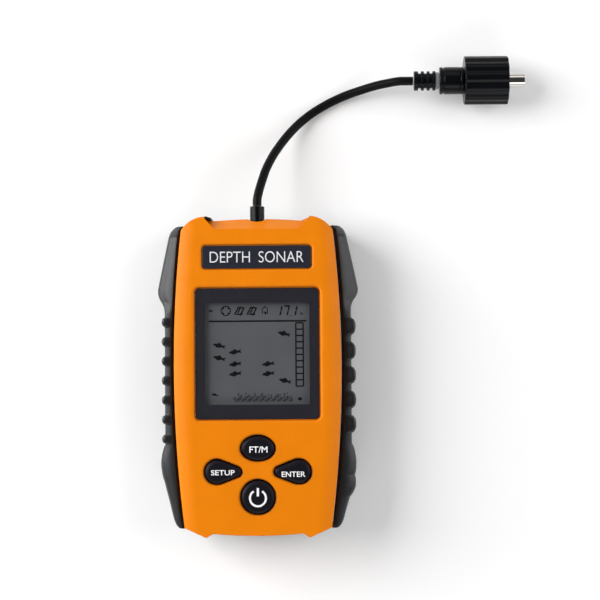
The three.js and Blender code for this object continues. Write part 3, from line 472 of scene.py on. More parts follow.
cover_low, cover_high = box_of("front_cover")
face_z = cover_high.z
seam_z = cover_low.z
half_length = cover_high.y
half_width = 31.6
top_half = 28.7
bottom_half = 27.7
shoulder_x = 19.4
foot_x = 19.5
ledge_inset = 2.6
ledge_depth = 1.5
ledge_rise = 0.8
cover_wall = 2.4
end_wall = 5.2
side_inset = 7
side_drop = 3.5
edge_round = 0.45
rim_round = 1.0


def bend(start, control, end, steps):
    """Points of a quadratic curve, without its start."""
    points = []
    for i in range(1, steps + 1):
        t = i / steps
        points.append(tuple(
            (1 - t) ** 2 * a + 2 * t * (1 - t) * c + t * t * b
            for a, c, b in zip(start, control, end)))
    return points


def mirrored(points):
    return [(-x, y) for x, y in reversed(points)]


def case_outline(grow=0.0):
    """The covers seen from the front, with shoulders, feet and ledges, clockwise."""
    tip = half_length + grow
    ledge = tip - ledge_depth
    crown = ledge + 2 * ledge_rise
    top = (top_half + grow, tip - 5.2)
    bottom = (bottom_half + grow, 3.7 - tip)
    waist = 2 * (half_width + grow) - (top[0] + bottom[0]) / 2
    right = [(shoulder_x - ledge_inset, ledge), (shoulder_x - 0.7, tip - 0.5)]
    right += bend(right[-1], (shoulder_x, tip - 0.05), (shoulder_x + 1.6, tip - 0.2), 5)
    right += bend(right[-1], (shoulder_x + 0.65 * (top_half - shoulder_x), tip - 0.9), top, 10)
    right += bend(right[-1], (waist, 0), bottom, 60)
    right += [(foot_x, -tip), (foot_x - ledge_inset, -ledge)]
    lower = bend(right[-1], (0, -crown), (-right[-1][0], -ledge), 20)
    upper = bend((-right[0][0], ledge), (0, crown), right[0], 20)
    return right + lower[:-1] + mirrored(right) + upper[:-1]


def barrel(half, top, bottom, end_y, steps=60, corner=0.0):
    """A plain outline with bowed sides, clockwise."""
    waist = 2 * half - (top + bottom) / 2
    right = [(top - corner, end_y)]
    right += bend(right[-1], (top, end_y), (top, end_y - corner), 6) if corner else []
    right += bend((top, end_y - corner), (waist, 0), (bottom, corner - end_y), steps)
    right += bend(right[-1], (bottom, -end_y), (bottom - corner, -end_y), 6) if corner else []
    return right + mirrored(right)


def rounded_box(x, y, width, height, corner, steps=8):
    """A rectangle with round corners, clockwise from its left top corner."""
    points = []
    for turn, (side, end) in enumerate(((-1, 1), (1, 1), (1, -1), (-1, -1))):
        for i in range(steps + 1):
            angle = math.pi - math.pi / 2 * (turn + i / steps)
            points.append((
                x + side * (width / 2 - corner) + corner * math.cos(angle),
                y + end * (height / 2 - corner) + corner * math.sin(angle)))
    return points


def flared(outline, low):
    """A cutter whose mouth opens at the face, so the rim it leaves is rounded."""
    mouth = rim(outline, 0, face_z, -rim_round, rim_round, 4)
    return stack([(outline(0), low)] + mouth + [(outline(rim_round), face_z + 1)])


# key outlines: an ellipse, two eggs that point to the middle, and a circle
key_gap = 0.45


def ellipse(x, y, radius_x, radius_y, steps=64):
    turns = [-2 * math.pi * i / steps for i in range(steps)]
    return [(x + radius_x * math.cos(t), y + radius_y * math.sin(t)) for t in turns]


def egg(x, y, big, small, reach, facing, steps=32):
    """A big and a small circle joined by their tangents, clockwise."""
    tangent = math.acos((big - small) / reach)
    points = []
    ends = (
        (x, big, -tangent, 2 * (math.pi - tangent)),
        (x + facing * reach, small, tangent, 2 * tangent),
    )
    for middle, radius, start, sweep in ends:
        for i in range(steps + 1):
            angle = start - sweep * i / steps
            points.append((
                middle + facing * radius * math.cos(angle), y + radius * math.sin(angle)))
    return points if facing > 0 else points[::-1]


key_places = {
    "ft_m": (0, -27), "setup": (-15.4, -35.8), "enter": (15.4, -35.8), "power": (0, -45.3),
}
unit_half = (6.65, 5)
egg_big = 4.9
egg_small = 2.25
egg_reach = 7.3
power_radius = 6.7


def key_outline(key, grow):
    place = key_places[key]
    if key == "ft_m":
        return ellipse(*place, unit_half[0] + grow, unit_half[1] + grow)
    if key == "power":
        return ellipse(*place, power_radius + grow, power_radius + grow)
    facing = 1 if key == "setup" else -1
    return egg(*place, egg_big + grow, egg_small + grow, egg_reach, facing)


def crowned(grow):
    """The bowed sides alone, with ends well past the case."""
    return barrel(
        half_width + 0.05 + grow, top_half + grow, bottom_half + grow, half_length + 5)


edge = rim(case_outline, 0, face_z, edge_round, edge_round, 4)
front = to_piece(stack([(case_outline(), seam_z)] + edge), "front_cover")
crown = rim(crowned, 0, face_z + 0.002, side_inset, side_drop, 12)
combine(front, stack([(crowned(0), 0)] + crown), "INTERSECT")

# the notch falls from its foot to the ledge
notch_foot = 55.6
notch_run = 4.2
notch_fall = 7
notch_end = notch_foot + notch_run
notch_top = 64
notch_half = 19.8
notch_foot_half = 16
notch_plan = [
    (-notch_foot_half, notch_foot), (-notch_half, notch_end), (-notch_half, notch_top),
    (notch_half, notch_top), (notch_half, notch_end), (notch_foot_half, notch_foot),
]
notch = prism(notch_plan, seam_z, face_z + 1)
sliced = bmesh.ops.bisect_plane(
    notch,
    geom=notch.verts[:] + notch.edges[:] + notch.faces[:],
    plane_co=(0, notch_foot, face_z),
    plane_no=(0, notch_fall, notch_run),
    clear_inner=True,
)
bmesh.ops.contextual_create(
    notch, geom=[part for part in sliced["geom_cut"] if isinstance(part, bmesh.types.BMEdge)])
combine(front, notch)

lens_low, lens_high = box_of("display_lens")
plate_low, plate_high = box_of("nameplate")
window_middle = (lens_low.y + lens_high.y) / 2
plate_middle = (plate_low.y + plate_high.y) / 2
touch_gap = 0.3
lens_seat = lens_low.z - touch_gap
plate_seat = plate_low.z - touch_gap
window_size = [side + 2 * touch_gap for side in (lens_high - lens_low)[:2]]
plate_size = [side + 2 * touch_gap for side in (plate_high - plate_low)[:2]]
view_size = (window_size[0] - 7.2, window_size[1] - 11)
window_corner = 2
plate_corner = 1.5


def window(grow):
    return rounded_box(
        0, window_middle, window_size[0] + 2 * grow, window_size[1] + 2 * grow,
        window_corner + grow)


def plate(grow):
    return rounded_box(
        0, plate_middle, plate_size[0] + 2 * grow, plate_size[1] + 2 * grow, plate_corner + grow)


# the opening behind the window is wider than the view, so its orange wall stays out of sight
opening = rounded_box(0, window_middle, view_size[0] + 3.2, view_size[1] + 5.6, 0.8)
hollow = barrel(
    half_width - cover_wall, top_half - cover_wall, bottom_half - cover_wall,
    half_length - ledge_depth - cover_wall, 30, 5)
hollow = [(x, min(y, half_length - ledge_depth + ledge_rise - end_wall)) for x, y in hollow]
combine(front, prism(hollow, seam_z - 1, face_z - cover_wall))
combine(front, flared(window, lens_seat))
combine(front, prism(opening, seam_z + 1, face_z + 1))
combine(front, flared(plate, plate_seat))
for key in key_places:
    combine(front, flared(partial(key_outline, key), seam_z + 1))

# the boot's bore with its wider mouth
bore = boot_radius + touch_gap
bore_start = 45
bore_end = 58.4
combine(front, spun([
    (bore_start, 0), (bore_start, bore), (bore_end, bore), (bore_end, boot_flange),
    (notch_top, boot_flange), (notch_top, 0),
], along_y, (0, 0, boot_z)))

orange_abs = plastic(
    "orange_abs", (0.74, 0.2, 0.003), 0.36, mottle=0.03, unevenness=0.05, skin=2200, depth=0.05,
    shine=0.1)
finish_surface(front, [orange_abs], "orange_shell", "case", "front_cover")


# ---- display window ----
# Clear acrylic pane, glued into the recess of the front cover. A dark border is printed on its
# underside and leaves only the display's view open.

acrylic, tree, shader = surface("clear_acrylic")
tree.nodes.remove(shader)
through = tree.nodes.new("ShaderNodeBsdfTransparent")
through.inputs["Color"].default_value = (0.93, 0.94, 0.95, 1)
mirror = tree.nodes.new("ShaderNodeBsdfGlossy")
mirror.inputs["Roughness"].default_value = 0.08
mirror.inputs["Color"].default_value = (0.9, 0.9, 0.9, 1)
edge_on = tree.nodes.new("ShaderNodeLayerWeight")
edge_on.inputs["Blend"].default_value = 0.15
pane_mix = tree.nodes.new("ShaderNodeMixShader")
led_between(tree, edge_on.outputs["Facing"], 0.034, 0.2, pane_mix.inputs["Fac"])
tree.links.new(through.outputs["BSDF"], pane_mix.inputs[1])
tree.links.new(mirror.outputs["BSDF"], pane_mix.inputs[2])
tree.links.new(pane_mix.outputs["Shader"], tree.nodes["Material Output"].inputs["Surface"])

border_depth = 0.12
pane_round = 0.15
pane_low = lens_low.z + border_depth
pane_rim = rim(window, -touch_gap, lens_high.z, pane_round, pane_round, 2)
lens = to_piece(stack([(window(-touch_gap), pane_low)] + pane_rim), "display_window")
finish_surface(lens, [acrylic], "clear_window", "case", "display_lens")

border_ink = plastic("border_ink", (0.019, 0.018, 0.025), 0.45, mottle=0.05)
view_border = to_piece(
    prism(window(-touch_gap - 0.1), lens_low.z, pane_low - 0.02), "window_border")
view_opening = rounded_box(0, window_middle, view_size[0] - 0.8, view_size[1] - 0.8, 0.4)
combine(view_border, prism(view_opening, lens_low.z - 1, pane_low + 1))
finish_surface(view_border, [border_ink], "plate_print", "case")


# ---- liquid crystal display ----
# Grey reflective panel in a black frame. Its dark segments show the status signs, the depth,
# a ruler, the bottom line and the fish; they are thin films that lie on the glass.

lcd_low, lcd_high = box_of("lcd_panel")
lcd_grey = plastic("lcd_grey", (0.125, 0.126, 0.13), 0.35, mottle=0.05, skin=4000, depth=0.02)
lcd_outline = rounded_box(0, window_middle, lcd_high.x * 2, lcd_high.y - lcd_low.y, 0.3)
panel = to_piece(prism(lcd_outline, lcd_low.z, lcd_high.z), "lcd_glass")
finish_surface(panel, [lcd_grey], "lcd_glass", "case", "lcd_panel")

film_low = lcd_high.z + 0.01
film_high = film_low + 0.04
films = bmesh.new()


def film(points):
    """One dark segment, from the outline of a simple shape."""
    face = films.faces.new([films.verts.new((x, y, film_low)) for x, y in points])
    raised = bmesh.ops.extrude_face_region(films, geom=[face], use_keep_orig=True)["geom"]
    bmesh.ops.translate(
        films, vec=(0, 0, film_high - film_low),
        verts=[part for part in raised if isinstance(part, bmesh.types.BMVert)])


def bar(x, y, width, height, lean=0.0):
    """A box about its middle whose top leans to the right."""
    half_x, half_y = width / 2, height / 2
    film([
        (x - half_x - lean * half_y, y - half_y), (x + half_x - lean * half_y, y - half_y),
        (x + half_x + lean * half_y, y + half_y), (x - half_x + lean * half_y, y + half_y)])


def turned_points(points, x, y, angle=0.0, size=1.0):
    cos, sin = math.cos(angle) * size, math.sin(angle) * size
    return [(x + a * cos - b * sin, y + a * sin + b * cos) for a, b in points]


# the line under the status row
bar(0.1, 20.85, 37, 0.62)

# depth ruler: two rails and eleven rungs
ruler_left = 14.55
ruler_right = 17.3
ruler_top = 20.1
ruler_bottom = -3.8
ruler_stroke = 0.5
rung_count = 11
for x in (ruler_left, ruler_right):
    bar(x, (ruler_top + ruler_bottom) / 2, ruler_stroke, ruler_top - ruler_bottom)
for i in range(rung_count):
    rung_y = ruler_top + (ruler_bottom - ruler_top) * i / (rung_count - 1)
    bar((ruler_left + ruler_right) / 2, rung_y, ruler_right - ruler_left, ruler_stroke)

# depth reading: seven-segment digits that lean to the right
digit_height = 3.6
digit_width = 1.4
stroke = 0.6
lean = 0.22
reading_y = 24.7


def digit(x, y, with_top):
    """A one, or a seven when it has its top segment."""
    upper = digit_height / 4
    if with_top:
        bar(x + lean * digit_height / 2, y + digit_height / 2, digit_width + stroke, stroke)
    for way in (1, -1):
        bar(
            x + digit_width / 2 + way * lean * upper, y + way * upper, stroke,
            digit_height / 2 - 0.25, lean)


digit(8.3, reading_y, False)
digit(11.0, reading_y, True)
digit(14.0, reading_y, False)
bar(12.7, reading_y - digit_height / 2 - 0.05, 0.4, 0.4)
for x in (16.4, 17.1):
    bar(x, reading_y - 1.15, 0.3, 0.75)
bar(16.75, reading_y - 0.85, 0.8, 0.25)

# status signs: speaker, noise filter ring, two waves, and a house with a dot
status_y = 24.8
ring_x = -11.9
house_x = 2.9
petal = [
    (0.55, 1.05), (1.05, 0.55), (1.8, 0.7), (1.75, 1.1), (1.2, 1.2), (1.1, 1.75), (0.7, 1.8)]
dash = [(1.5, -0.6), (1.9, -0.6), (1.9, 0.6), (1.5, 0.6)]
film([(-18.4, status_y), (-17.4, status_y + 0.6), (-17.4, status_y - 0.6)])
bar(-17.0, status_y, 0.5, 0.5)
for quadrant in range(4):
    angle = math.pi / 2 * quadrant
    film(turned_points(petal, ring_x, status_y, angle))
    film(turned_points(dash, ring_x, status_y, angle))
for start_x in (-7.8, -3.1):
    for i in range(3):
        bar(
            start_x + 1.05 * i, status_y + 0.4 * math.sin(2 * i), 0.55, 3.0 - 0.6 * (i % 2), 0.5)
    bar(start_x + 1.1, status_y - 1.3, 2.5, 0.5, 0.5)
    bar(start_x + 1.7, status_y + 1.1, 1.8, 0.45, 0.5)
house = [(-1.3, 0.5), (0, 1.75), (1.3, 0.5), (0.95, 0.5), (0, 1.3), (-0.95, 0.5)]
film(turned_points(house, house_x, status_y))
for side in (-1, 1):
    bar(house_x + side * 0.95, status_y - 0.35, 0.34, 1.5)
film(ellipse(house_x + 0.2, status_y - 0.9, 0.45, 0.55, 12))

# fish: a lens-shaped body that points to the left, a back fin and a forked tail
fish_body = [
    (-2.3, -0.1), (-1.5, 0.45), (-0.7, 0.6), (-0.2, 1.15), (0.5, 0.75), (1.1, 0.35),
    (2.3, 0.75), (1.9, 0.1), (2.2, -0.6), (1.1, -0.25), (0.2, -0.6), (-0.5, -0.85),
    (-1.1, -0.5),
]
fish_size = 1.08
small_fish_size = 0.6
fish_down = math.radians(-15)
fish_up = math.radians(7)
fish_places = [
    (10.0, 16.0, fish_down), (-14.5, 11.6, fish_down), (-8.5, 9.2, fish_up),
    (-14.5, 6.9, fish_down), (-8.5, 4.6, fish_up), (4.0, 4.6, fish_up), (-8.5, 0.9, fish_up),
    (4.0, 0.9, fish_up), (10.3, -1.8, fish_down),
]
for x, y, angle in fish_places:
    film(turned_points(fish_body, x, y, angle, fish_size))
film(turned_points(fish_body, -16.2, -6.9, fish_down, small_fish_size))

# bottom line: dotted columns whose height wanders
dot = 0.4
dot_pitch = 0.56
bottom_x = -8.9
bottom_y = -9.3
for i in range(40):
    peak = 1.2 + 2.2 * abs(math.sin(1.7 * i) * math.cos(0.6 * i + 1))
    for j in range(6):
        if j * dot_pitch < peak and (i * 7 + j * 5) % 4:
            bar(bottom_x + dot_pitch * i, bottom_y + dot_pitch * j, dot, dot)
film(turned_points([(-1, 0), (0, 0.75), (1, 0), (0, -0.75)], 16.0, -8.6))

segment_ink = plastic("segment_ink", (0.004, 0.004, 0.005), 0.5, shine=0.1)
signs = to_piece(films, "lcd_segments")
finish_surface(signs, [segment_ink], "inner_plastic", "case")


# ---- nameplate ----
# Dark label with an eased rim in its own shallow recess, with the object's kind printed on it
# in plain light capitals.

plate_ink = plastic("plate_ink", (0.017, 0.0185, 0.028), 0.32, mottle=0.05)
plate_edge = 0.2
plate_rim = rim(plate, -touch_gap, plate_high.z, plate_edge, plate_edge, 3)
label = to_piece(stack([(plate(-touch_gap), plate_low.z)] + plate_rim), "name_label")
finish_surface(label, [plate_ink], "plate_print", "case", "nameplate")

print_white = plastic("print_white", (0.72, 0.73, 0.75), 0.5, mottle=0.03)
print_height = 0.03


def lettering(name, words, x, y, z, height, width, weight, gap=1.0):
    """Flat printed capitals, centred, of a given cap height and width."""
    text = bpy.data.curves.new(name, "FONT")
    text.body = words
    text.align_x = "CENTER"
    text.align_y = "CENTER"
    text.offset = weight
    text.space_word = gap
    text.extrude = 0.5
    text.resolution_u = 6
    carrier = shown(name, text)
    bpy.context.view_layer.update()
    graph = bpy.context.evaluated_depsgraph_get()
    mesh = bpy.data.meshes.new_from_object(carrier.evaluated_get(graph))
    bpy.data.objects.remove(carrier)
    low = Vector([min(v.co[k] for v in mesh.vertices) for k in range(3)])
    high = Vector([max(v.co[k] for v in mesh.vertices) for k in range(3)])
    size = high - low
    scale = Matrix.Diagonal((width / size.x, height / size.y, print_height / size.z, 1))
    middle = (low + high) / 2
    mesh.transform(
        Matrix.Scale(mm, 4) @ Matrix.Translation((x, y, z)) @ scale @ Matrix.Translation(-middle))
    return shown(name, mesh)


title = lettering(
    "label_print", "DEPTH SONAR", 0, plate_middle, plate_high.z + print_height / 2,
    height=4.2, width=35.4, weight=-0.008, gap=1.8)
finish_surface(title, [print_white], "plate_print", "case")


# ---- keys ----
# Four soft black rubber keys with domed rims and a flange that stops them under the face. Each
# presses a metal dome on the board through its post; the legends are printed in white.

key_black = plastic(
    "key_black", (0.0035, 0.003, 0.0065), 0.48, skin=1800, depth=0.06, shine=0.16)
legend_white = plastic("legend_white", (0.85, 0.85, 0.86), 0.45, mottle=0.02)
key_rim = 1.6
key_dome = 1.15
key_tops = {}
flange_high = face_z - cover_wall - touch_gap
flange_low = flange_high - 1.1
flange_width = 1.0
post_radius = 2.3
for key, place in key_places.items():
    low, high = box_of(key + "_button")
    outline = partial(key_outline, key)
    flange = outline(flange_width)
    levels = [(flange, flange_low), (flange, flange_high), (outline(-key_gap), flange_high)]
    levels += rim(outline, -key_gap, high.z, key_rim, key_dome, 8)
    cap = to_piece(stack(levels), key + "_key")
    post = ellipse(*place, post_radius, post_radius, 24)
    combine(cap, prism(post, low.z, flange_low + 0.5), "UNION")
    finish_surface(cap, [key_black], "key_rubber", key + "_key", key + "_button")
    key_tops[key] = high.z + 0.012

for key, words, x, y, width, height in (
        ("ft_m", "FT/M", 0.3, -27.4, 6.8, 2.4), ("setup", "SETUP", -13.1, -36.0, 8.9, 2.0),
        ("enter", "ENTER", 13.4, -36.7, 8.9, 2.0)):
    legend = lettering(
        key + "_legend", words, x, y, key_tops[key], height, width, weight=0.014)
    finish_surface(legend, [legend_white], "key_rubber", key + "_key")

# power sign: an open ring with a stroke through its gap
ring_radius = 3.0
ring_stroke = 0.75
ring_gap = math.radians(32)
sign_y = -45.6
sign = bmesh.new()
start = math.pi / 2 + ring_gap
corners = [
    sign.verts.new((ring_radius + side * ring_stroke / 2, 0, z))
    for side, z in ((-1, 0), (1, 0), (1, print_height), (-1, print_height))]
section = sign.faces.new(corners)
bmesh.ops.rotate(sign, verts=sign.verts, cent=(0, 0, 0), matrix=Matrix.Rotation(start, 3, "Z"))
bmesh.ops.spin(
    sign, geom=[section] + list(section.edges) + list(section.verts), axis=(0, 0, 1),
    cent=(0, 0, 0), angle=2 * math.pi - 2 * ring_gap, steps=40, use_merge=False)
stroke_box = bmesh.ops.create_cube(sign, size=1)["verts"]
stroke_size = (0.85, 3.1, print_height)
bmesh.ops.scale(sign, vec=stroke_size, verts=stroke_box)
bmesh.ops.translate(sign, vec=(0, 2.25, print_height / 2), verts=stroke_box)
bmesh.ops.translate(sign, vec=(0, sign_y, key_tops["power"] - 0.012), verts=sign.verts)
power_sign = to_piece(sign, "power_legend")
finish_surface(power_sign, [legend_white], "key_rubber", "power_key")


# ---- side grips ----
# Dark soft rubber, moulded on to both sides of the case. Each bulges into an upper and a lower
# wing; between them the left one has seven slim ridges and the right one five broad lobes.

grip_low, grip_high = box_of("left_grip")
grip_end = grip_high.y
grip_valley = 35.5
wing_half = -grip_low.x
wing_y = 32.6
hip_half = 37.2
hip_y = -33.5
grip_gap = 0.45
grip_row = 0.32
grip_belly = 14.6
grip_groove = 4
grip_seam = 1.1
grip_slope = 0.65
grip_turn = 1.8
grip_hollow = 1.7
ridge_lift = 0.5
grip_end_drop = 3.5


def along(points, y):
    """x of a falling line of (x, y) points at a height y."""
    for (x0, y0), (x1, y1) in zip(points, points[1:]):
        if y1 <= y <= y0 and y0 > y1:
            return x0 + (x1 - x0) * (y0 - y) / (y0 - y1)
    return points[-1][0] if y < points[-1][1] else points[0][0]


wall_line = sorted(
    (point for point in case_outline(grip_gap) if point[0] > shoulder_x - 1), key=lambda p: -p[1])


def smooth_step(t):
    t = min(1, max(0, t))
    return t * t * (3 - 2 * t)


def edge_line(blunt):
    """The grip's outer edge without its ridges, from the top end down."""
    line = [(30.3, grip_end)]
    line += bend(line[-1], (33.0, grip_end - 0.4), (33.9, grip_end - 3.8), 8)
    line += bend(line[-1], (37.9, wing_y + 3.2), (wing_half - 0.1, wing_y + 0.8), 14)
    if blunt:
        line += bend(line[-1], (wing_half + 0.1, wing_y - 0.6), (wing_half - 1.1, wing_y - 2.6), 8)
        line += bend(line[-1], (grip_valley - 0.1, wing_y - 4.8), (grip_valley, wing_y - 8), 8)
    else:
        line += bend(line[-1], (wing_half + 0.2, wing_y - 1.8), (wing_half - 1.2, wing_y - 3.8), 8)
        line += bend(line[-1], (grip_valley, wing_y - 6.2), (grip_valley, wing_y - 9), 8)
    line += [(grip_valley, hip_y + 7.8)]
    line += bend(line[-1], (hip_half - 0.2, hip_y + 5.2), (hip_half, hip_y + 0.8), 12)
    if blunt:
        line += bend(line[-1], (hip_half, hip_y - 3.2), (hip_half - 0.7, hip_y - 4.2), 8)
        line += bend(line[-1], (hip_half, hip_y - 5.6), (hip_half - 0.3, hip_y - 8.6), 8)
        line += bend(
            line[-1], (grip_valley + 0.4, hip_y - 11.4), (grip_valley - 0.8, hip_y - 12.4), 8)
    else:
        line += bend(line[-1], (hip_half - 0.1, hip_y - 3.4), (hip_half - 1.2, hip_y - 6.2), 8)
    line += [(32.2, 3.4 - grip_end)]
    line += bend(line[-1], (31.1, -grip_end), (28.9, -grip_end), 8)
    return line


def ridge_height(y, count, first, pitch, proud, half):
    """How far the ridges stand out at a height y: half circles with eased feet."""
    tallest = 0
    for i in range(count):
        reach = abs(y - (first - i * pitch)) / half
        if reach < 1:
            tallest = max(tallest, proud * (1 - reach ** 2.4) ** 0.6)
    return tallest


def grip_section(y, edge, ridges, side):
    """The grip cut across at one height: groove, flat slope, round edge, wall and bottom."""
    inner = along(wall_line, y)
    width = max(along(edge, y) - inner, 0.6)
    outer = inner + width
    seam = min(grip_seam, 0.3 * width)
    end_fall = grip_end_drop * (1 - smooth_step((grip_end - 0.5 - y) / 4.5))
    crest = grip_high.z - end_fall
    below_wing = smooth_step((wing_y - 4 - y) / 5)
    valley = below_wing * smooth_step((y - hip_y - 4) / 5)
    turn = min(grip_turn, 0.5 * (width - seam))
    turn += valley * (0.42 * (width - seam) - turn)
    slope = grip_slope * (1 - 0.7 * below_wing)
    slope_low = crest - slope * (width - seam - turn)
    points = [(inner, crest - grip_groove)]
    for i in range(6):
        points.append((
            inner + seam + (width - seam - turn) * i / 5,
            crest + (slope_low - crest) * (i / 5) ** grip_hollow))
    points += bend(
        points[-1], (outer, slope_low - (0.6 - 0.5 * valley) * turn),
        (outer, slope_low - 1.5 * turn), 7)
    points += bend(points[-1], (outer + 0.3, grip_belly), (outer - 0.4, grip_low.z + 6), 6)
    points += bend(
        points[-1], (outer - 0.15 * width, grip_low.z), (outer - 0.7 * width, grip_low.z), 7)
    points.append((inner, grip_low.z))
    proud = ridge_height(y, *ridges)
    section = []
    for x, z in points:
        reach = smooth_step(((x - inner) / width - 0.3) / 0.5)
        lift = ridge_lift * proud * reach if z > grip_belly else 0
        section.append((side * (x + proud * reach), y, z + lift))
    return section


def make_grip(name, side, blunt, ridges):
    edge = edge_line(blunt)
    rows = round(2 * (grip_end - 0.2) / grip_row)
    heights = [grip_end - 0.2 - 2 * (grip_end - 0.2) * i / rows for i in range(rows + 1)]
    shape = bmesh.new()
    start = [shape.verts.new(point) for point in grip_section(heights[0], edge, ridges, side)]
    front_end = shape.faces.new(start)
    for y in heights[1:]:
        front_end = bmesh.ops.extrude_discrete_faces(shape, faces=[front_end])["faces"][0]
        for corner, place in zip(front_end.verts, grip_section(y, edge, ridges, side)):
            corner.co = place
    shape.faces.new(list(reversed(start)))
    grip = to_piece(shape, name + "_soft")
    finish_surface(grip, [grip_rubber], "grip_rubber", "case", name, crease=50)


grip_rubber = plastic(
    "grip_rubber", (0.010, 0.011, 0.0135), 0.36, mottle=0.1, unevenness=0.06, skin=1700,
    depth=0.08, shine=0.4)
grip_shader = grip_rubber.node_tree.nodes["Principled BSDF"]
grip_shader.inputs["Sheen Weight"].default_value = 0.08
grip_shader.inputs["Sheen Roughness"].default_value = 0.4

# count, first height, pitch, how far they stand out and half a width of each row of ridges
make_grip("left_grip", -1, False, (7, 20.7, 7.4, 1.15, 1.75))
make_grip("right_grip", 1, True, (5, 18.8, 9.3, 1.75, 3.3))


# ---- back cover, battery door and screws ----
# Black ABS back half of the case with the battery bay moulded in, the door that slides out over
# its lower end, and steel screws. Their moulded and cut edges are eased.


def eased_copy(node, name, width, finish, slot, body, segments=2, cut=None):
    """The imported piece's own shape, merged, with each sharp edge rounded off."""
    shape = bmesh.new()
    shape.from_mesh(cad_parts[node].data)
    bmesh.ops.scale(shape, vec=(1 / mm, 1 / mm, 1 / mm), verts=shape.verts)
    bmesh.ops.remove_doubles(shape, verts=shape.verts, dist=0.002)
    bmesh.ops.dissolve_limit(
        shape, angle_limit=math.radians(0.5), use_dissolve_boundaries=False,
        verts=shape.verts, edges=shape.edges)
    piece = to_piece(shape, name)
    easing = piece.modifiers.new("easing", "BEVEL")
    easing.width = width * mm
    easing.segments = segments
    easing.limit_method = "ANGLE"
    easing.angle_limit = math.radians(40)
    easing.use_clamp_overlap = True
    settle(piece)
    if cut:
        combine(piece, cut)
    finish_surface(piece, [finish], slot, body, node, crease=40)


shell_black = plastic("shell_black", (0.013, 0.013, 0.0135), 0.5, skin=1400, depth=0.1)
door_black = plastic("door_black", (0.0125, 0.0125, 0.013), 0.46, skin=1400, depth=0.1)
zinc = metal("zinc", (0.42, 0.42, 0.43), 0.3, streak=(1, 1, 0.2))
eased_copy("back_cover", "rear_cover", 0.3, shell_black, "black_shell", "case")

# a sunk arrow on the door points the way that it slides
arrow_tip = -37
arrow = [(-4, arrow_tip + 7), (4, arrow_tip + 7), (0, arrow_tip)]
arrow_depth = 0.4
eased_copy(
    "battery_door", "cell_door", 0.25, door_black, "black_shell", "door",
    cut=prism(arrow, -1, arrow_depth))

# a black tongue of the back cover shows along the left shoulder's slanted end
catch = [(-20.1, 60.1), (-19.4, 60.6), (-17.2, 59.95), (-17.3, 59.35)]
catch_top = face_z - 1.4
tongue = to_piece(prism(catch, seam_z - 6, catch_top), "shoulder_tongue")
finish_surface(tongue, [shell_black], "black_shell", "case")

for i in range(4):
    eased_copy(f"case_screw_{i + 1}", f"cover_screw_{i + 1}", 0.1, zinc, "screw_steel", "case", 1)


# ---- inside the case ----
# Seals, display stack, board with its parts, domes, cells, springs and wires keep their packed
# shapes, and each gets the finish of its real material.

white_acrylic = plastic("white_acrylic", (0.72, 0.72, 0.69), 0.4, mottle=0.03)
board_green = plastic("board_green", (0.012, 0.085, 0.035), 0.35, mottle=0.15, skin=900)
chip_epoxy = plastic("chip_epoxy", (0.012, 0.012, 0.013), 0.6)
ferrite = plastic("ferrite", (0.035, 0.035, 0.038), 0.65, mottle=0.2, skin=1200, depth=0.15)
drawn_can = metal("drawn_can", (0.62, 0.63, 0.64), 0.28)
spring_steel = metal("spring_steel", (0.6, 0.6, 0.59), 0.22, streak=(0.3, 1, 1))
red_wire = plastic("red_wire", (0.32, 0.018, 0.015), 0.42)
black_wire = plastic("black_wire", (0.012, 0.012, 0.013), 0.42)

finish_of = {
    "case_seal": soft_black, "door_seal": soft_black, "zebra_strip": soft_black,
    "keypad_mat": key_black, "lcd_frame": chip_epoxy, "backlight": white_acrylic,
    "main_pcb": board_green, "microcontroller": chip_epoxy, "driver_chip": chip_epoxy,
    "buzzer": chip_epoxy, "pulse_transformer": ferrite, "capacitor": drawn_can,
    "battery_wire_minus": black_wire, "battery_wire_plus": red_wire, "lead_tail": lead_jacket,
}
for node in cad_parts:
    if node.endswith("_dome") or node.startswith(("battery_spring", "contact")):
        finish_of[node] = spring_steel
    elif node.startswith("board_screw"):
        finish_of[node] = zinc


def cell_finish(name, foot, tip):
    """A printed sleeve with a pale band near the plus end, and bare metal at both ends."""
    material, tree, shader = surface(name)
    place = tree.nodes.new("ShaderNodeTexCoord").outputs["Object"]
    parts = tree.nodes.new("ShaderNodeSeparateXYZ")
    tree.links.new(place, parts.inputs["Vector"])
    share = tree.nodes.new("ShaderNodeMapRange")
    share.inputs["From Min"].default_value = foot
    share.inputs["From Max"].default_value = tip
    tree.links.new(parts.outputs["Y"], share.inputs["Value"])
    steel = (0.6, 0.6, 0.58)
    green = (0.012, 0.1, 0.042)
    cream = (0.7, 0.68, 0.6)
    sleeve_start = 0.02
    sleeve_end = 0.955
    tints = ((0, steel), (sleeve_start, green), (0.78, cream), (0.84, green), (sleeve_end, steel))
    bare = ((0, (1, 1, 1)), (sleeve_start, (0, 0, 0)), (sleeve_end, (1, 1, 1)))
    ramped(tree, share.outputs["Result"], tints, shader.inputs["Base Color"], "CONSTANT")
    ramped(tree, share.outputs["Result"], bare, shader.inputs["Metallic"], "CONSTANT")
    shader.inputs["Roughness"].default_value = 0.3
    return material


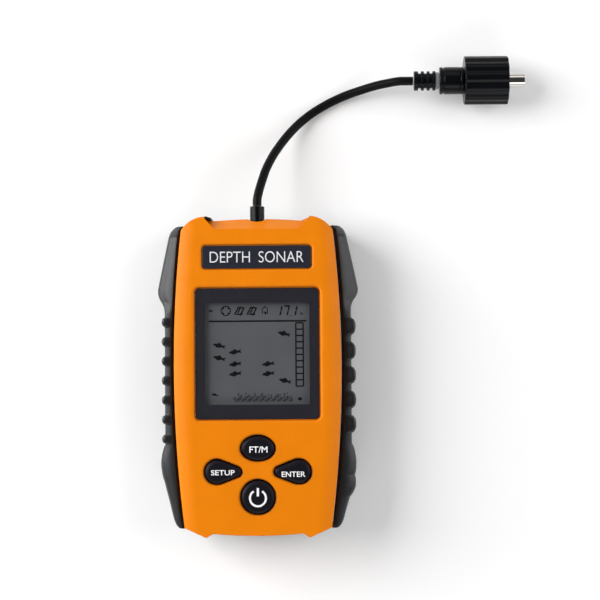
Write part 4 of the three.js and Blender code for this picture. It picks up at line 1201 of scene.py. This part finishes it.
# the cells point up and down in turn
for i in range(4):
    cell_low, cell_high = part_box(f"aaa_cell_{i + 1}")
    foot, tip = (cell_high.y, cell_low.y) if i % 2 else (cell_low.y, cell_high.y)
    finish_of[f"aaa_cell_{i + 1}"] = cell_finish(f"cell_jacket_{i + 1}", foot, tip)

for node, finish in finish_of.items():
    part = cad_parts[node]
    part.data.materials.clear()
    part.data.materials.append(finish)


# ---- floor and light ----
# A pale plain floor, four soft boxes round the case with the strongest on its left, and a room
# that is pale near the floor and dim overhead.

floor_shape = bmesh.new()
bmesh.ops.create_grid(floor_shape, x_segments=1, y_segments=1, size=3000)
floor = to_piece(floor_shape, "floor")
floor_paint, tree, shader = surface("floor_paint")
shader.inputs["Base Color"].default_value = (0.97, 0.97, 0.97, 1)
shader.inputs["Roughness"].default_value = 0.9
floor.data.materials.append(floor_paint)

world = bpy.data.worlds.new("studio")
world.use_nodes = True
tree = world.node_tree
gaze = tree.nodes.new("ShaderNodeTexCoord")
height = tree.nodes.new("ShaderNodeSeparateXYZ")
tree.links.new(gaze.outputs["Generated"], height.inputs["Vector"])
room = [
    (level, (tone, tone, tone)) for level, tone in ((0, 0.8), (0.2, 0.25), (0.5, 0.09), (1, 0.05))]
ramped(tree, height.outputs["Z"], room, tree.nodes["Background"].inputs["Color"])
bpy.context.scene.world = world


light_aim = Vector((0, 0.03, 0.02))


def soft_box(name, place, width, height, power):
    lamp = bpy.data.lights.new(name, "AREA")
    lamp.shape = "RECTANGLE"
    lamp.size = width
    lamp.size_y = height
    lamp.energy = power
    facing = (light_aim - Vector(place)).to_track_quat("-Z", "Y")
    shown(name, lamp).matrix_world = Matrix.Translation(place) @ facing.to_matrix().to_4x4()


soft_box("left_box", (-0.8, 0.28, 0.48), 0.7, 1.1, 14.3)
soft_box("right_box", (0.85, 0.2, 0.5), 0.7, 1.1, 5.5)
soft_box("top_box", (0.05, 0.9, 0.6), 1.3, 0.5, 2.2)
soft_box("bottom_box", (0.05, -0.85, 0.55), 1.3, 0.5, 4.8)
bpy.context.scene.view_settings.view_transform = "Standard"
